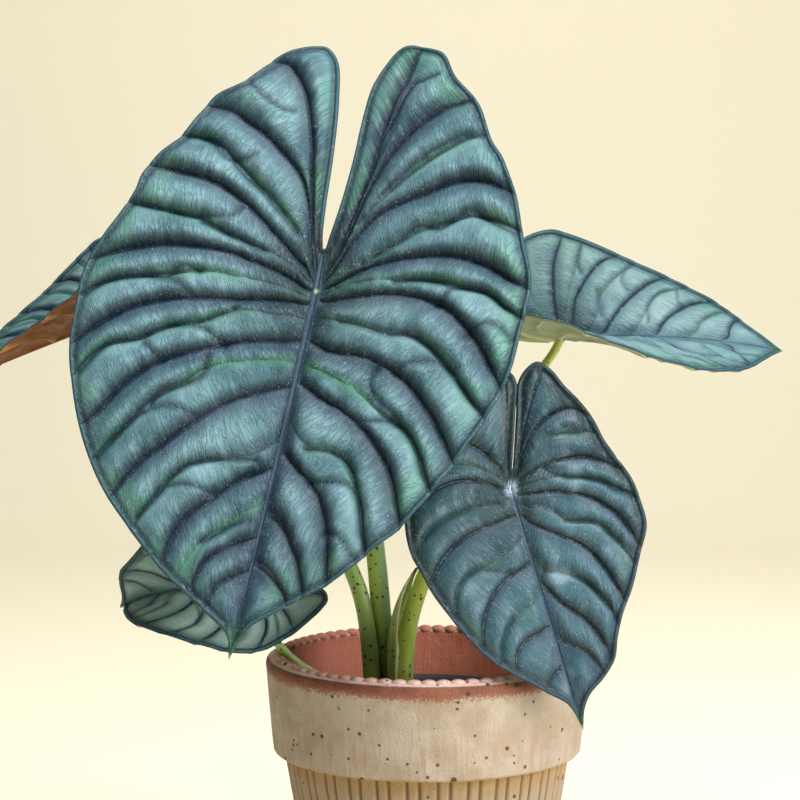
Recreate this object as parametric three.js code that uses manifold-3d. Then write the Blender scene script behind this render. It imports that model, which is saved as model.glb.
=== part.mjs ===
// Potted silver nebula alocasia: quilted arrow-shaped leaves on spotted stalks, rooted in potting mix in
// a thin plastic grower's pot that stands inside a fluted terracotta pot.
// Millimetres, +Z up, origin at the middle of the terracotta pot's underside, the large leaf facing -Y.
import * as THREE from "three";
import { mergeVertices } from "three/addons/utils/BufferGeometryUtils.js";
import Module from "manifold-3d";

const wasm = await Module();
wasm.setup();

const { degToRad, lerp, smoothstep } = THREE.MathUtils;

// Terracotta pot
const POT_HEIGHT = 127.7;
const RIM_RADIUS = 70;
const COLLAR_HEIGHT = 41;
const COLLAR_FOOT_RADIUS = 67.5;
const BODY_TOP_RADIUS = 62.4;
const BASE_RADIUS = 48;
const POT_WALL = 6;
const POT_FLOOR = 8;
const FLUTES = 30;
const FLUTE_DEPTH = 1.1;
const BEADS = 68;
const BEAD_RING = 64.4;
const BEAD_RADIUS = 1.9;
const BEAD_SINK = 0.5;
const BEAD_WAIST = 0.55;
const DRAIN_HOLES = 3;
const DRAIN_RADIUS = 5;
const DRAIN_RING = 24;

// Grower's pot and potting mix
const LINER_HEIGHT = 99.8;
const LINER_RIM_RADIUS = 56;
const LINER_BASE_RADIUS = 40;
const LINER_WALL = 1.4;
const LINER_LIP = 1.5;
const LINER_HOLES = 3;
const LINER_HOLE_RADIUS = 4;
const LINER_HOLE_RING = 27;
const MIX_TOP = 98;

// Clearance between pieces that touch
const GAP = 0.3;

// Leaves
const BLADE_THICKNESS = 0.9;
const RIM_GROOVE = 2.4;
const RIM_CREST = 1.0;
const QUILT_RISE = 0.2;
const QUILT_CREST = 0.6;
const FAINT_DEPTH = 0.5;
const STALK_SIDES = 8;
const SHEATH_FROM = 0.22;
const SHEATH_TO = 0.53;
const SHEATH_SIDE = [-0.98, -0.05, 0];
const SHEATH_WALL = 1;
const SHEATH_FLARE = 3;
const SHEATH_COLUMNS = 5;

/** A closed geometry as a solid that can be joined and cut. */
function solid(geometry) {
  const bare = geometry.clone();
  bare.deleteAttribute("normal");
  bare.deleteAttribute("uv");
  const merged = mergeVertices(bare, 1e-4);
  return new wasm.Manifold(
    new wasm.Mesh({
      numProp: 3,
      vertProperties: merged.attributes.position.array,
      triVerts: new Uint32Array(merged.index.array),
    }),
  );
}

/** The surface of a solid as a geometry. */
function surfaceOf(body) {
  const { vertProperties, triVerts } = body.getMesh();
  const geometry = new THREE.BufferGeometry();
  geometry.setAttribute("position", new THREE.BufferAttribute(vertProperties, 3));
  geometry.setIndex(new THREE.BufferAttribute(triVerts, 1));
  return geometry;
}

/** A solid of revolution about Z from [radius, height] pairs, which start and end on the axis. */
function turned(profile, segments) {
  const points = profile.map(([radius, height]) => new THREE.Vector2(radius, height));
  return new THREE.LatheGeometry(points, segments).rotateX(Math.PI / 2);
}

/** Round holes in a ring, each a solid cylinder that passes through the floor. */
function ringOfHoles(count, radius, ring, top, turn) {
  const holes = [];
  for (let i = 0; i < count; i++) {
    const angle = turn + (i / count) * 2 * Math.PI;
    const hole = new THREE.CylinderGeometry(radius, radius, 2 * top, 12).rotateX(Math.PI / 2);
    hole.translate(ring * Math.cos(angle), ring * Math.sin(angle), 0);
    holes.push(solid(hole));
  }
  return holes;
}

/** Triangles between two chains of vertices, each advanced in turn by how far along it has come. */
function zip(first, second, placeOf, face) {
  let [i, j] = [0, 0];
  while (i + 1 < first.length || j + 1 < second.length) {
    if (placeOf(first, i + 1) <= placeOf(second, j + 1)) {
      face(first[i], first[i + 1], second[j]);
      i += 1;
    } else {
      face(first[i], second[j + 1], second[j]);
      j += 1;
    }
  }
}

/** A geometry from its vertices and the triangles that index them. */
function meshed(vertices, triangles) {
  const geometry = new THREE.BufferGeometry();
  const positions = vertices.flatMap((p) => p.toArray());
  geometry.setAttribute("position", new THREE.Float32BufferAttribute(positions, 3));
  geometry.setIndex(triangles);
  return geometry;
}

/** A closed ring about Z through loops of points, which may differ in their number of columns. */
function ringThrough(loops) {
  const vertices = loops.flat();
  const triangles = [];
  let start = 0;
  const chains = loops.map((loop) => {
    const chain = loop.map((_, i) => start + i);
    start += loop.length;
    return [...chain, chain[0]];
  });
  const placeOf = (chain, i) => i / (chain.length - 1);
  const face = (a, b, c) => triangles.push(a, b, c);
  chains.forEach((chain, i) => {
    const next = chains[(i + 1) % chains.length];
    zip(chain, next, (of, k) => (k < of.length ? placeOf(of, k) : Infinity), face);
  });
  return meshed(vertices, triangles);
}

/** A level loop of points about Z, in or out by a function of the column. */
function loopAt(columns, pointAt) {
  return Array.from({ length: columns }, (_, column) => {
    const [radius, height] = pointAt(column);
    const angle = (column / columns) * 2 * Math.PI;
    return new THREE.Vector3(radius * Math.cos(angle), radius * Math.sin(angle), height);
  });
}

const slope = (BODY_TOP_RADIUS - BASE_RADIUS) / (POT_HEIGHT - COLLAR_HEIGHT);

/** Outer radius of the fluted body at a height, without its grooves. */
const bodyRadius = (z) => BASE_RADIUS + slope * z;

// One flute period, as [share of the period, depth share]: wide rib, groove, narrow rib, groove.
const FLUTE_PROFILE = [
  [0.22, 0.1],
  [0.3, 1.0],
  [0.38, 0.1],
  [0.62, 0.1],
  [0.7, 1.0],
  [0.78, 0.1],
];

/** The fluted body of the terracotta pot, solid inside. */
function flutedBody() {
  const columns = FLUTES * FLUTE_PROFILE.length;
  const top = POT_HEIGHT - COLLAR_HEIGHT + 4;
  const body = turned(
    [
      [0, 0],
      [BASE_RADIUS, 0],
      [bodyRadius(top), top],
      [0, top],
    ],
    columns,
  );
  const period = (2 * Math.PI) / FLUTES;
  const position = body.attributes.position;
  for (let i = 0; i < position.count; i++) {
    const [x, y, z] = [position.getX(i), position.getY(i), position.getZ(i)];
    const radius = Math.hypot(x, y);
    if (radius < 1) continue;
    const column = Math.round((Math.atan2(y, x) / (2 * Math.PI)) * columns + columns) % columns;
    const [share, depth] = FLUTE_PROFILE[column % FLUTE_PROFILE.length];
    const angle = (Math.floor(column / FLUTE_PROFILE.length) + share) * period - Math.PI / 2;
    const cut = radius - FLUTE_DEPTH * depth;
    position.setXYZ(i, cut * Math.cos(angle), cut * Math.sin(angle), z);
  }
  return solid(body);
}

/** The plain collar, as a ring whose inner edge at the top is a row of beads. */
function collar() {
  const foot = POT_HEIGHT - COLLAR_HEIGHT;
  const inner = bodyRadius(foot) - POT_WALL;
  const plain = (radius, height) => loopAt(BEADS, () => [radius, height]);
  const beaded = (degrees) =>
    loopAt(2 * BEADS, (column) => {
      const swell = BEAD_RADIUS * (column % 2 === 0 ? 1 : BEAD_WAIST);
      const angle = degToRad(degrees);
      return [BEAD_RING + swell * Math.cos(angle), POT_HEIGHT - BEAD_SINK + swell * Math.sin(angle)];
    });
  return solid(
    ringThrough([
      plain(inner, foot),
      plain(COLLAR_FOOT_RADIUS - 2, foot),
      plain(COLLAR_FOOT_RADIUS - 0.3, foot + 1.6),
      plain(RIM_RADIUS, POT_HEIGHT - 4),
      plain(RIM_RADIUS - 0.7, POT_HEIGHT - 1.3),
      plain(RIM_RADIUS - 2.4, POT_HEIGHT),
      beaded(25),
      beaded(90),
      beaded(155),
      plain(BEAD_RING - 1, POT_HEIGHT - 3.2),
    ]),
  );
}

function terracottaPot() {
  const top = POT_HEIGHT - COLLAR_HEIGHT;
  const cavity = turned(
    [
      [0, POT_FLOOR],
      [bodyRadius(POT_FLOOR) - POT_WALL, POT_FLOOR],
      [bodyRadius(top) - POT_WALL, top],
      [bodyRadius(top) - POT_WALL, top + 5],
      [0, top + 5],
    ],
    BEADS,
  );
  let pot = flutedBody().subtract(solid(cavity)).add(collar());
  for (const hole of ringOfHoles(DRAIN_HOLES, DRAIN_RADIUS, DRAIN_RING, POT_FLOOR + 1, 0.4))
    pot = pot.subtract(hole);
  return surfaceOf(pot);
}

/** Outer radius of the grower's pot at a height above the terracotta pot's floor. */
const linerRadius = (h) => lerp(LINER_BASE_RADIUS, LINER_RIM_RADIUS - LINER_LIP, h / LINER_HEIGHT);

function growersPot() {
  const floor = POT_FLOOR + GAP;
  const rim = LINER_HEIGHT + POT_FLOOR;
  const lipFoot = LINER_HEIGHT - 6;
  const shell = turned(
    [
      [0, floor],
      [linerRadius(0), floor],
      [linerRadius(lipFoot), floor + lipFoot],
      [linerRadius(lipFoot) + LINER_LIP, floor + lipFoot + 0.8],
      [LINER_RIM_RADIUS, rim],
      [LINER_RIM_RADIUS - LINER_LIP - LINER_WALL, rim],
      [linerRadius(LINER_WALL) - LINER_WALL, floor + LINER_WALL],
      [0, floor + LINER_WALL],
    ],
    36,
  );
  let pot = solid(shell);
  for (const hole of ringOfHoles(LINER_HOLES, LINER_HOLE_RADIUS, LINER_HOLE_RING, POT_FLOOR + 4, 0.9))
    pot = pot.subtract(hole);
  return surfaceOf(pot);
}

/** Parallel-transported frames along a stalk, as centre, side and up vectors of each station. */
function stations(points, count) {
  const route = new THREE.CatmullRomCurve3(
    points.map((p) => new THREE.Vector3(...p)),
    false,
    "centripetal",
  );
  const frames = route.computeFrenetFrames(count, false);
  return frames.tangents.map((tangent, i) => ({
    centre: route.getPointAt(i / count),
    side: frames.normals[i],
    up: frames.binormals[i],
    tangent,
    along: i / count,
  }));
}

/** A closed skin over rings of equal size, with a flat cap on each end. */
function skin(rings) {
  const sides = rings[0].length;
  const vertices = rings.flat();
  const triangles = [];
  for (let r = 0; r + 1 < rings.length; r++)
    for (let i = 0; i < sides; i++) {
      const [a, b] = [r * sides + i, r * sides + ((i + 1) % sides)];
      triangles.push(a, b, b + sides, a, b + sides, a + sides);
    }
  const last = (rings.length - 1) * sides;
  for (let i = 1; i + 1 < sides; i++) {
    triangles.push(0, i + 1, i);
    triangles.push(last, last + i, last + i + 1);
  }
  return meshed(vertices, triangles);
}

/** Radius of a stalk at a share of its length. */
function taper(radii, along) {
  const place = along * (radii.length - 1);
  const before = Math.min(Math.floor(place), radii.length - 2);
  return lerp(radii[before], radii[before + 1], place - before);
}

/** A tapering round stalk along its route, grown by a margin all round where a hole is cut for it. */
function stalk({ route, radii, steps = 16 }, grow = 0) {
  const rings = stations(route, steps).map(({ centre, side, up, tangent, along }, ring) => {
    const radius = taper(radii, along) + grow;
    const end = ring === 0 ? -grow : 0;
    return Array.from({ length: STALK_SIDES }, (_, i) => {
      const angle = (i / STALK_SIDES) * 2 * Math.PI;
      return centre
        .clone()
        .addScaledVector(side, radius * Math.cos(angle))
        .addScaledVector(up, radius * Math.sin(angle))
        .addScaledVector(tangent, end);
    });
  });
  return skin(rings);
}

/** The open sheath that clasps one side of a stalk and narrows to a free tip. */
function sheath({ route, radii, steps = 40 }) {
  const [from, to] = [Math.round(SHEATH_FROM * steps), Math.round(SHEATH_TO * steps)];
  const rings = stations(route, steps).slice(from, to + 1);
  const loops = rings.map(({ centre, tangent, along }, ring) => {
    const share = ring / (rings.length - 1);
    const back = new THREE.Vector3(...SHEATH_SIDE);
    back.addScaledVector(tangent, -back.dot(tangent)).normalize();
    const across = new THREE.Vector3().crossVectors(tangent, back);
    const place = (radius, angle) =>
      centre
        .clone()
        .addScaledVector(back, radius * Math.cos(angle))
        .addScaledVector(across, radius * Math.sin(angle));
    const stem = taper(radii, along);
    const spread = degToRad(lerp(90, 20, share ** 2));
    const outer = stem + 0.6 + SHEATH_FLARE * Math.sin(Math.PI * share ** 1.3) + share;
    const inner = lerp(stem * 0.8, outer - SHEATH_WALL, smoothstep(share, 0.3, 0.5));
    const arc = Array.from({ length: SHEATH_COLUMNS }, (_, i) =>
      lerp(-spread, spread, i / (SHEATH_COLUMNS - 1)),
    );
    return [...arc.map((a) => place(outer, a)), ...arc.reverse().map((a) => place(inner, a))];
  });
  return skin(loops);
}

/** Curve through flat [x, y] points of a blade. */
function flatCurve(points) {
  return new THREE.CatmullRomCurve3(
    points.map(([x, y]) => new THREE.Vector3(x, y, 0)),
    false,
    "centripetal",
  );
}

/** How far along a curve, from 0 to 1, it passes closest to a flat point. */
function nearestShare(curve, [x, y]) {
  const target = new THREE.Vector3(x, y, 0);
  const samples = curve.getSpacedPoints(800);
  let best = 0;
  samples.forEach((p, i) => {
    if (p.distanceToSquared(target) < samples[best].distanceToSquared(target)) best = i;
  });
  return best / 800;
}

/** One half of a blade: its margin, and its veins from the sinus to the tip, which end on the margin. */
function halfBlade(leaf, side) {
  const sign = side === 0 ? -1 : 1;
  const { margin, crown, veins } = leaf.halves[side];
  const edge = flatCurve([
    [sign * leaf.spine(leaf.sinus), leaf.sinus],
    ...margin.map(([x, y]) => [sign * x, y]),
    [0, -leaf.length],
  ]);
  const tip = edge.getPointAt(1);
  const inner = nearestShare(edge, [sign * crown[0], crown[1]]);
  const rays = [
    { root: leaf.sinus, end: inner, faint: false, at: (s) => edge.getPointAt(s * inner) },
    ...veins.map(({ root, run, faint = false }) => {
      const last = run[run.length - 1];
      const end = nearestShare(edge, [sign * last[0], last[1]]);
      const foot = [leaf.spine(root), root];
      const stop = edge.getPointAt(end);
      const points = [foot, ...run.slice(0, -1)].map(([x, y]) => [sign * x, y]);
      const curve = flatCurve([...points, [stop.x, stop.y]]);
      return { root, end, faint, at: (s) => curve.getPointAt(s), reach: curve.getLength() };
    }),
    { root: -leaf.length, end: 1, faint: false, at: () => tip, reach: 0 },
  ];
  rays[0].reach = edge.getLength() * inner;
  return { sign, edge, rays };
}

/** Rows along a vein: evenly spaced to the rim groove, then the rim's crest and its edge. */
function rowShares(reach, rows) {
  const groove = 1 - Math.min(RIM_GROOVE / Math.max(reach, 1), 0.2);
  const crest = 1 - Math.min(RIM_CREST / Math.max(reach, 1), 0.09);
  const even = Array.from({ length: rows - 1 }, (_, i) => (groove * i) / (rows - 2));
  return [...even, crest, 1];
}

/** Height of the quilting between two veins that stand a distance apart. */
const quiltHeight = (width) => (QUILT_RISE * width) / (1 + width / 60);

/** The rim's own profile: a groove inside a rounded bead. */
function rimProfile(distance) {
  const groove = -0.6 * Math.exp(-(((distance - RIM_GROOVE) / 1.2) ** 2));
  const bead = 0.4 * Math.exp(-(((distance - RIM_CREST) / 0.7) ** 2));
  return groove + bead;
}

/** Flat vertices, heights and triangles of a blade, strip by strip between neighbouring veins. */
function bladeNet(leaf) {
  const points = [];
  const heights = [];
  const triangles = [];
  const known = new Map();
  const vertex = (p, height) => {
    const key = Math.round(p.x * 1000) + " " + Math.round(p.y * 1000);
    if (!known.has(key)) {
      known.set(key, points.length);
      points.push(p);
      heights.push(height);
    }
    return known.get(key);
  };
  const face = (sign, a, b, c) => {
    if (a === b || b === c || c === a) return;
    triangles.push(...(sign < 0 ? [a, c, b] : [a, b, c]));
  };
  const spines = [];
  const chains = [];
  for (const side of [0, 1]) {
    const { sign, edge, rays } = halfBlade(leaf, side);
    const rim = edge.getSpacedPoints(400);
    const spine = [];
    const chain = [];
    // A faint vein keeps part of the height that the quilting between the strong veins beside it has.
    const crest = (ray, s) => {
      if (!rays[ray].faint) return 0;
      const width = rays[ray - 1].at(s).distanceTo(rays[ray + 1].at(s));
      return quiltHeight(width) * (1 - FAINT_DEPTH * smoothstep(s, 0.15, 0.45));
    };
    for (let i = 0; i + 1 < rays.length; i++) {
      const [upper, lower] = [rays[i], rays[i + 1]];
      const split = upper.faint || lower.faint;
      const columns = i === 0 ? [0, 0.3, 0.65, 1] : split ? [0, 0.55, 1] : [0, 0.36, 0.68, 1];
      const rowsUpper = rowShares(upper.reach, leaf.rows);
      const rowsLower = rowShares(lower.reach, leaf.rows);
      const grid = rowsUpper.map((_, r) =>
        columns.map((t) => {
          const s = lerp(rowsUpper[r], rowsLower[r], t);
          const along = upper.at(s).clone().lerp(lower.at(s), t);
          const atSpine = spinePoint(leaf, sign, lerp(upper.root, lower.root, t));
          const atEdge = edge.getPointAt(lerp(upper.end, lower.end, t));
          const plain = upper.at(0).clone().lerp(lower.at(0), t).multiplyScalar(1 - s);
          plain.addScaledVector(upper.at(1).clone().lerp(lower.at(1), t), s);
          const flat = along.addScaledVector(atSpine, 1 - s).addScaledVector(atEdge, s).sub(plain);
          const toRim = Math.min(...rim.map((p) => p.distanceTo(flat)));
          const width = upper.at(s).distanceTo(lower.at(s));
          const swell = Math.sin(Math.PI * t ** (Math.log(0.5) / Math.log(QUILT_CREST)));
          const own = quiltHeight(width) * swell * (split ? 0.6 : 1);
          const ease = smoothstep(Math.abs(flat.x), 0, 7) * (0.3 + 0.7 * smoothstep(toRim, 0, 9));
          const height = (lerp(crest(i, s), crest(i + 1, s), t) + own) * ease + rimProfile(toRim);
          return vertex(flat, height);
        }),
      );
      const [rows, across] = [grid.length, columns.length];
      for (let r = 0; r + 1 < rows; r++)
        for (let c = 0; c + 1 < across; c++) {
          const [a, b] = [grid[r][c], grid[r + 1][c]];
          const [d, e] = [grid[r][c + 1], grid[r + 1][c + 1]];
          face(sign, a, d, b);
          face(sign, d, e, b);
        }
      if (i === 0) chain.push(...grid.map((row) => row[0]));
      spine.push(...grid[0]);
      chain.push(...grid[rows - 1]);
    }
    spines.push([...new Set(spine)]);
    chains.push([...new Set(chain)]);
  }
  const down = (chain, i) => (i < chain.length ? -points[chain[i]].y : Infinity);
  zip(...spines, down, (a, b, c) => face(1, a, b, c));
  const [left, right] = chains;
  const loop = [...right.slice().reverse(), ...left.slice(0, -1)];
  return { points, heights, triangles, loop };
}

/** A point on the edge of the midrib band. */
function spinePoint(leaf, sign, y) {
  return new THREE.Vector3(sign * leaf.spine(y), y, 0);
}

/** Where a flat point of the blade lies in the leaf's frame: folded along the midrib, curled and bent. */
function shaped(leaf, x, y, height) {
  const side = x < 0 ? 0 : 1;
  const sign = side === 0 ? -1 : 1;
  const toLobes = smoothstep(y, -leaf.length, leaf.lobes);
  const fold = degToRad(lerp(leaf.fold.tip[side], leaf.fold.lobes[side], toLobes));
  const curl = degToRad(leaf.curl[side] / 100) * Math.abs(x);
  const bend = degToRad((y < 0 ? leaf.bend.tip : leaf.bend.lobes) / 100) * Math.abs(y);
  const chord = (arc, turn) => arc * (turn === 0 ? 1 : Math.sin(turn / 2) / (turn / 2));
  const out = chord(Math.abs(x), curl);
  const normal = fold + curl;
  const across = out * Math.cos(fold + curl / 2) - height * Math.sin(normal);
  const rise = out * Math.sin(fold + curl / 2) + height * Math.cos(normal);
  const run = chord(Math.abs(y), bend);
  const away = Math.sign(y);
  return new THREE.Vector3(
    sign * across + leaf.lean * Math.max(y, 0),
    away * (run * Math.cos(bend / 2) + rise * Math.sin(bend)),
    rise * Math.cos(bend) - run * Math.sin(bend / 2),
  );
}

/** The blade as a closed sheet of even thickness, alike in its triangles on both faces. */
function blade(leaf) {
  const { points, heights, triangles, loop } = bladeNet(leaf);
  const count = points.length;
  const top = points.map((p, i) => shaped(leaf, p.x, p.y, heights[i]));
  const under = points.map((p, i) => shaped(leaf, p.x, p.y, heights[i] - BLADE_THICKNESS));
  const faces = [...triangles];
  for (let i = 0; i < triangles.length; i += 3) {
    const [a, b, c] = triangles.slice(i, i + 3);
    faces.push(a + count, c + count, b + count);
  }
  loop.forEach((p, i) => {
    const q = loop[(i + 1) % loop.length];
    faces.push(p + count, q + count, q, p + count, q, p);
  });
  return meshed([...top, ...under], faces);
}

/** Width of half the midrib band, from the sinus down to the tip. */
const taperedSpine = (length, sinus, wide) => (y) => {
  if (y > 0) return lerp(wide, 0.5, y / sinus);
  return wide * Math.max(0, 1 + y / length) ** 0.8;
};

// Blade outlines and veins are flat [x, y] points of one half, x out from the midrib and y towards the lobes.
const LARGE_BLADE = {
  length: 156,
  lobes: 118,
  sinus: 19,
  rows: 10,
  halves: [
    {
      crown: [11, 110],
      margin: [
        [1.5, 25], [2.2, 38], [2.8, 61], [4.8, 87], [8.6, 106], [14, 111.5], [20, 110.5], [30.8, 104.5],
        [38.8, 96], [47, 85.5], [56.5, 77], [62, 67], [66.6, 57], [75, 45.5], [80, 36], [81.3, 28], [85, 19],
        [90.6, 6], [95, -6], [95.5, -18], [94.5, -31], [93, -44], [86, -64], [79, -79], [67, -97],
        [52, -112], [34, -127], [12, -140.5], [3, -147],
      ],
      veins: [
        {
          root: 8,
          run: [[3, 15], [5.6, 24], [8.2, 39], [10.7, 54], [13.8, 70], [19.3, 87], [29, 99], [38, 100]],
        },
        {
          root: 6.5,
          run: [[4, 13], [6.8, 26], [9, 36], [13.7, 47], [20.7, 54.5], [34.5, 65], [49, 71.5], [59.5, 72]],
        },
        {
          root: 5,
          faint: true,
          run: [[5, 11], [10.5, 22.5], [21, 33], [33.4, 42.5], [43, 50], [53, 56], [67, 56]],
        },
        {
          root: 3.5,
          run: [[5, 8], [10.5, 12], [23.5, 23], [36.5, 32.5], [50, 38.5], [62.5, 40], [78, 40]],
        },
        {
          root: 2,
          faint: true,
          run: [[10, 7.5], [24, 13], [41, 17.5], [51, 21], [61, 21.5], [73, 22], [83.5, 22]],
        },
        { root: 0, run: [[6, 1], [14, 4], [22.5, 6.5], [40, 9.5], [61, 8.5], [79, 3], [94.5, -5.5]] },
        {
          root: -3,
          faint: true,
          run: [[18, -1.5], [35, -0.5], [48.5, -1], [58, -4], [70, -7.5], [80, -10.5], [88, -15], [95, -22]],
        },
        { root: -6, run: [[18, -7.5], [36, -10.5], [54, -14], [69, -20], [81.5, -29.5], [93, -43]] },
        {
          root: -13,
          faint: true,
          run: [[16, -14], [31, -15], [43, -22], [55, -26.5], [66, -34], [78, -39.5], [84, -47], [89.5, -57]],
        },
        {
          root: -22,
          run: [[10, -24], [26, -27.5], [41, -34], [55.5, -42], [66, -53], [76.5, -70.5], [81, -75.5]],
        },
        {
          root: -32,
          faint: true,
          run: [[18, -35], [36, -41], [45, -50.5], [54.5, -59], [62, -71], [72, -89]],
        },
        { root: -42, run: [[9.5, -45], [24, -53], [35.5, -63.5], [45, -75], [53.5, -86], [62, -103]] },
        {
          root: -66,
          faint: true,
          run: [[8, -74], [18, -77], [29.5, -80], [39, -88.5], [45.5, -101.5], [50, -113]],
        },
        { root: -77, run: [[12.5, -84], [22, -94.5], [31, -106], [34, -117], [35, -126.5]] },
        { root: -91, faint: true, run: [[6, -97], [13, -104], [20, -111], [25, -122], [28, -131]] },
        { root: -106, run: [[10.5, -112], [18.5, -120], [20.5, -128], [20, -135.5]] },
        { root: -120, run: [[6, -123.5], [12, -129], [14, -139]] },
      ],
    },
    {
      crown: [11, 110],
      margin: [
        [1.2, 24], [3.8, 41], [5.8, 62], [6.6, 84], [8, 95], [11.4, 105], [17, 114.5], [22, 117],
        [30.6, 116.5], [35.5, 115], [38.3, 112.5], [44, 102.5], [54, 93], [57.3, 88], [64, 73.5], [69, 67],
        [73, 59.5], [77, 51], [80, 42], [83, 31.5], [86, 23], [88, 17], [88.6, 10], [88, 0], [87.5, -7],
        [87, -23], [83, -38.5], [76.5, -55], [68, -73], [56, -94], [46.5, -105], [35.5, -118], [16.5, -133],
        [5.5, -142.5], [2, -149],
      ],
      veins: [
        {
          root: 8,
          run: [[3.5, 12], [8, 23.5], [10.6, 35], [14.7, 54], [16, 66], [20, 88], [24, 103], [26.5, 118]],
        },
        {
          root: 6.8,
          run: [[4.5, 11.5], [9, 22.5], [12, 36], [15.6, 48], [22, 64], [32, 78], [42.7, 87.5], [54, 93]],
        },
        {
          root: 5.4,
          faint: true,
          run: [[4.8, 9.8], [9.6, 21.5], [14.5, 32.5], [22, 43], [31, 54], [42, 64.5], [54, 73], [63, 76]],
        },
        {
          root: 4,
          run: [[4.7, 7.8], [10.4, 20.5], [15.4, 29], [21, 36], [37, 46], [52.7, 54], [63, 55], [77, 50]],
        },
        {
          root: 2.5,
          faint: true,
          run: [[7, 7], [18.5, 14], [26, 20], [33.5, 25.5], [43, 32], [53, 36], [63, 39], [74, 37], [82, 34]],
        },
        {
          root: 1,
          run: [[7, 3.5], [13.5, 8.5], [20.8, 13], [37, 18.5], [53, 21], [68.6, 18.5], [82, 12.5], [88, 10]],
        },
        {
          root: -1.5,
          faint: true,
          run: [[9, 2], [20, 6], [33, 8], [51, 10], [61.5, 8], [73.4, 6], [79, 2], [87.5, -3]],
        },
        {
          root: -4,
          run: [[5, -4], [10.5, -2.5], [18.5, 0], [35, 2.5], [52.5, 0], [66, -9.5], [76, -21], [84, -34]],
        },
        {
          root: -12,
          faint: true,
          run: [[13, -12.5], [26, -14], [43, -15], [54, -20], [62.5, -27.5], [73, -38.5], [80, -46]],
        },
        {
          root: -22,
          run: [[9, -24.5], [26.5, -26], [42.5, -32.5], [54.5, -43], [64, -54.5], [72, -66]],
        },
        {
          root: -32,
          faint: true,
          run: [[15, -36], [28, -42], [38, -49], [48, -53.5], [57, -64], [64.5, -79]],
        },
        {
          root: -40,
          run: [[9.5, -44], [23.5, -50.5], [36.5, -60], [46.5, -72.5], [53, -87.5], [55.5, -95]],
        },
        {
          root: -57,
          faint: true,
          run: [[11, -66], [21, -68], [29, -71.5], [36, -83], [41, -97], [44.5, -108]],
        },
        { root: -70, run: [[7.5, -74.5], [19, -85], [26.5, -99.5], [30, -115.5], [31, -122]] },
        { root: -95, run: [[9, -100.5], [16.5, -111.5], [21.5, -123], [23, -128.5]] },
        { root: -117, run: [[5.5, -119], [14.5, -126], [18, -132.5]] },
      ],
    },
  ],
};

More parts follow.
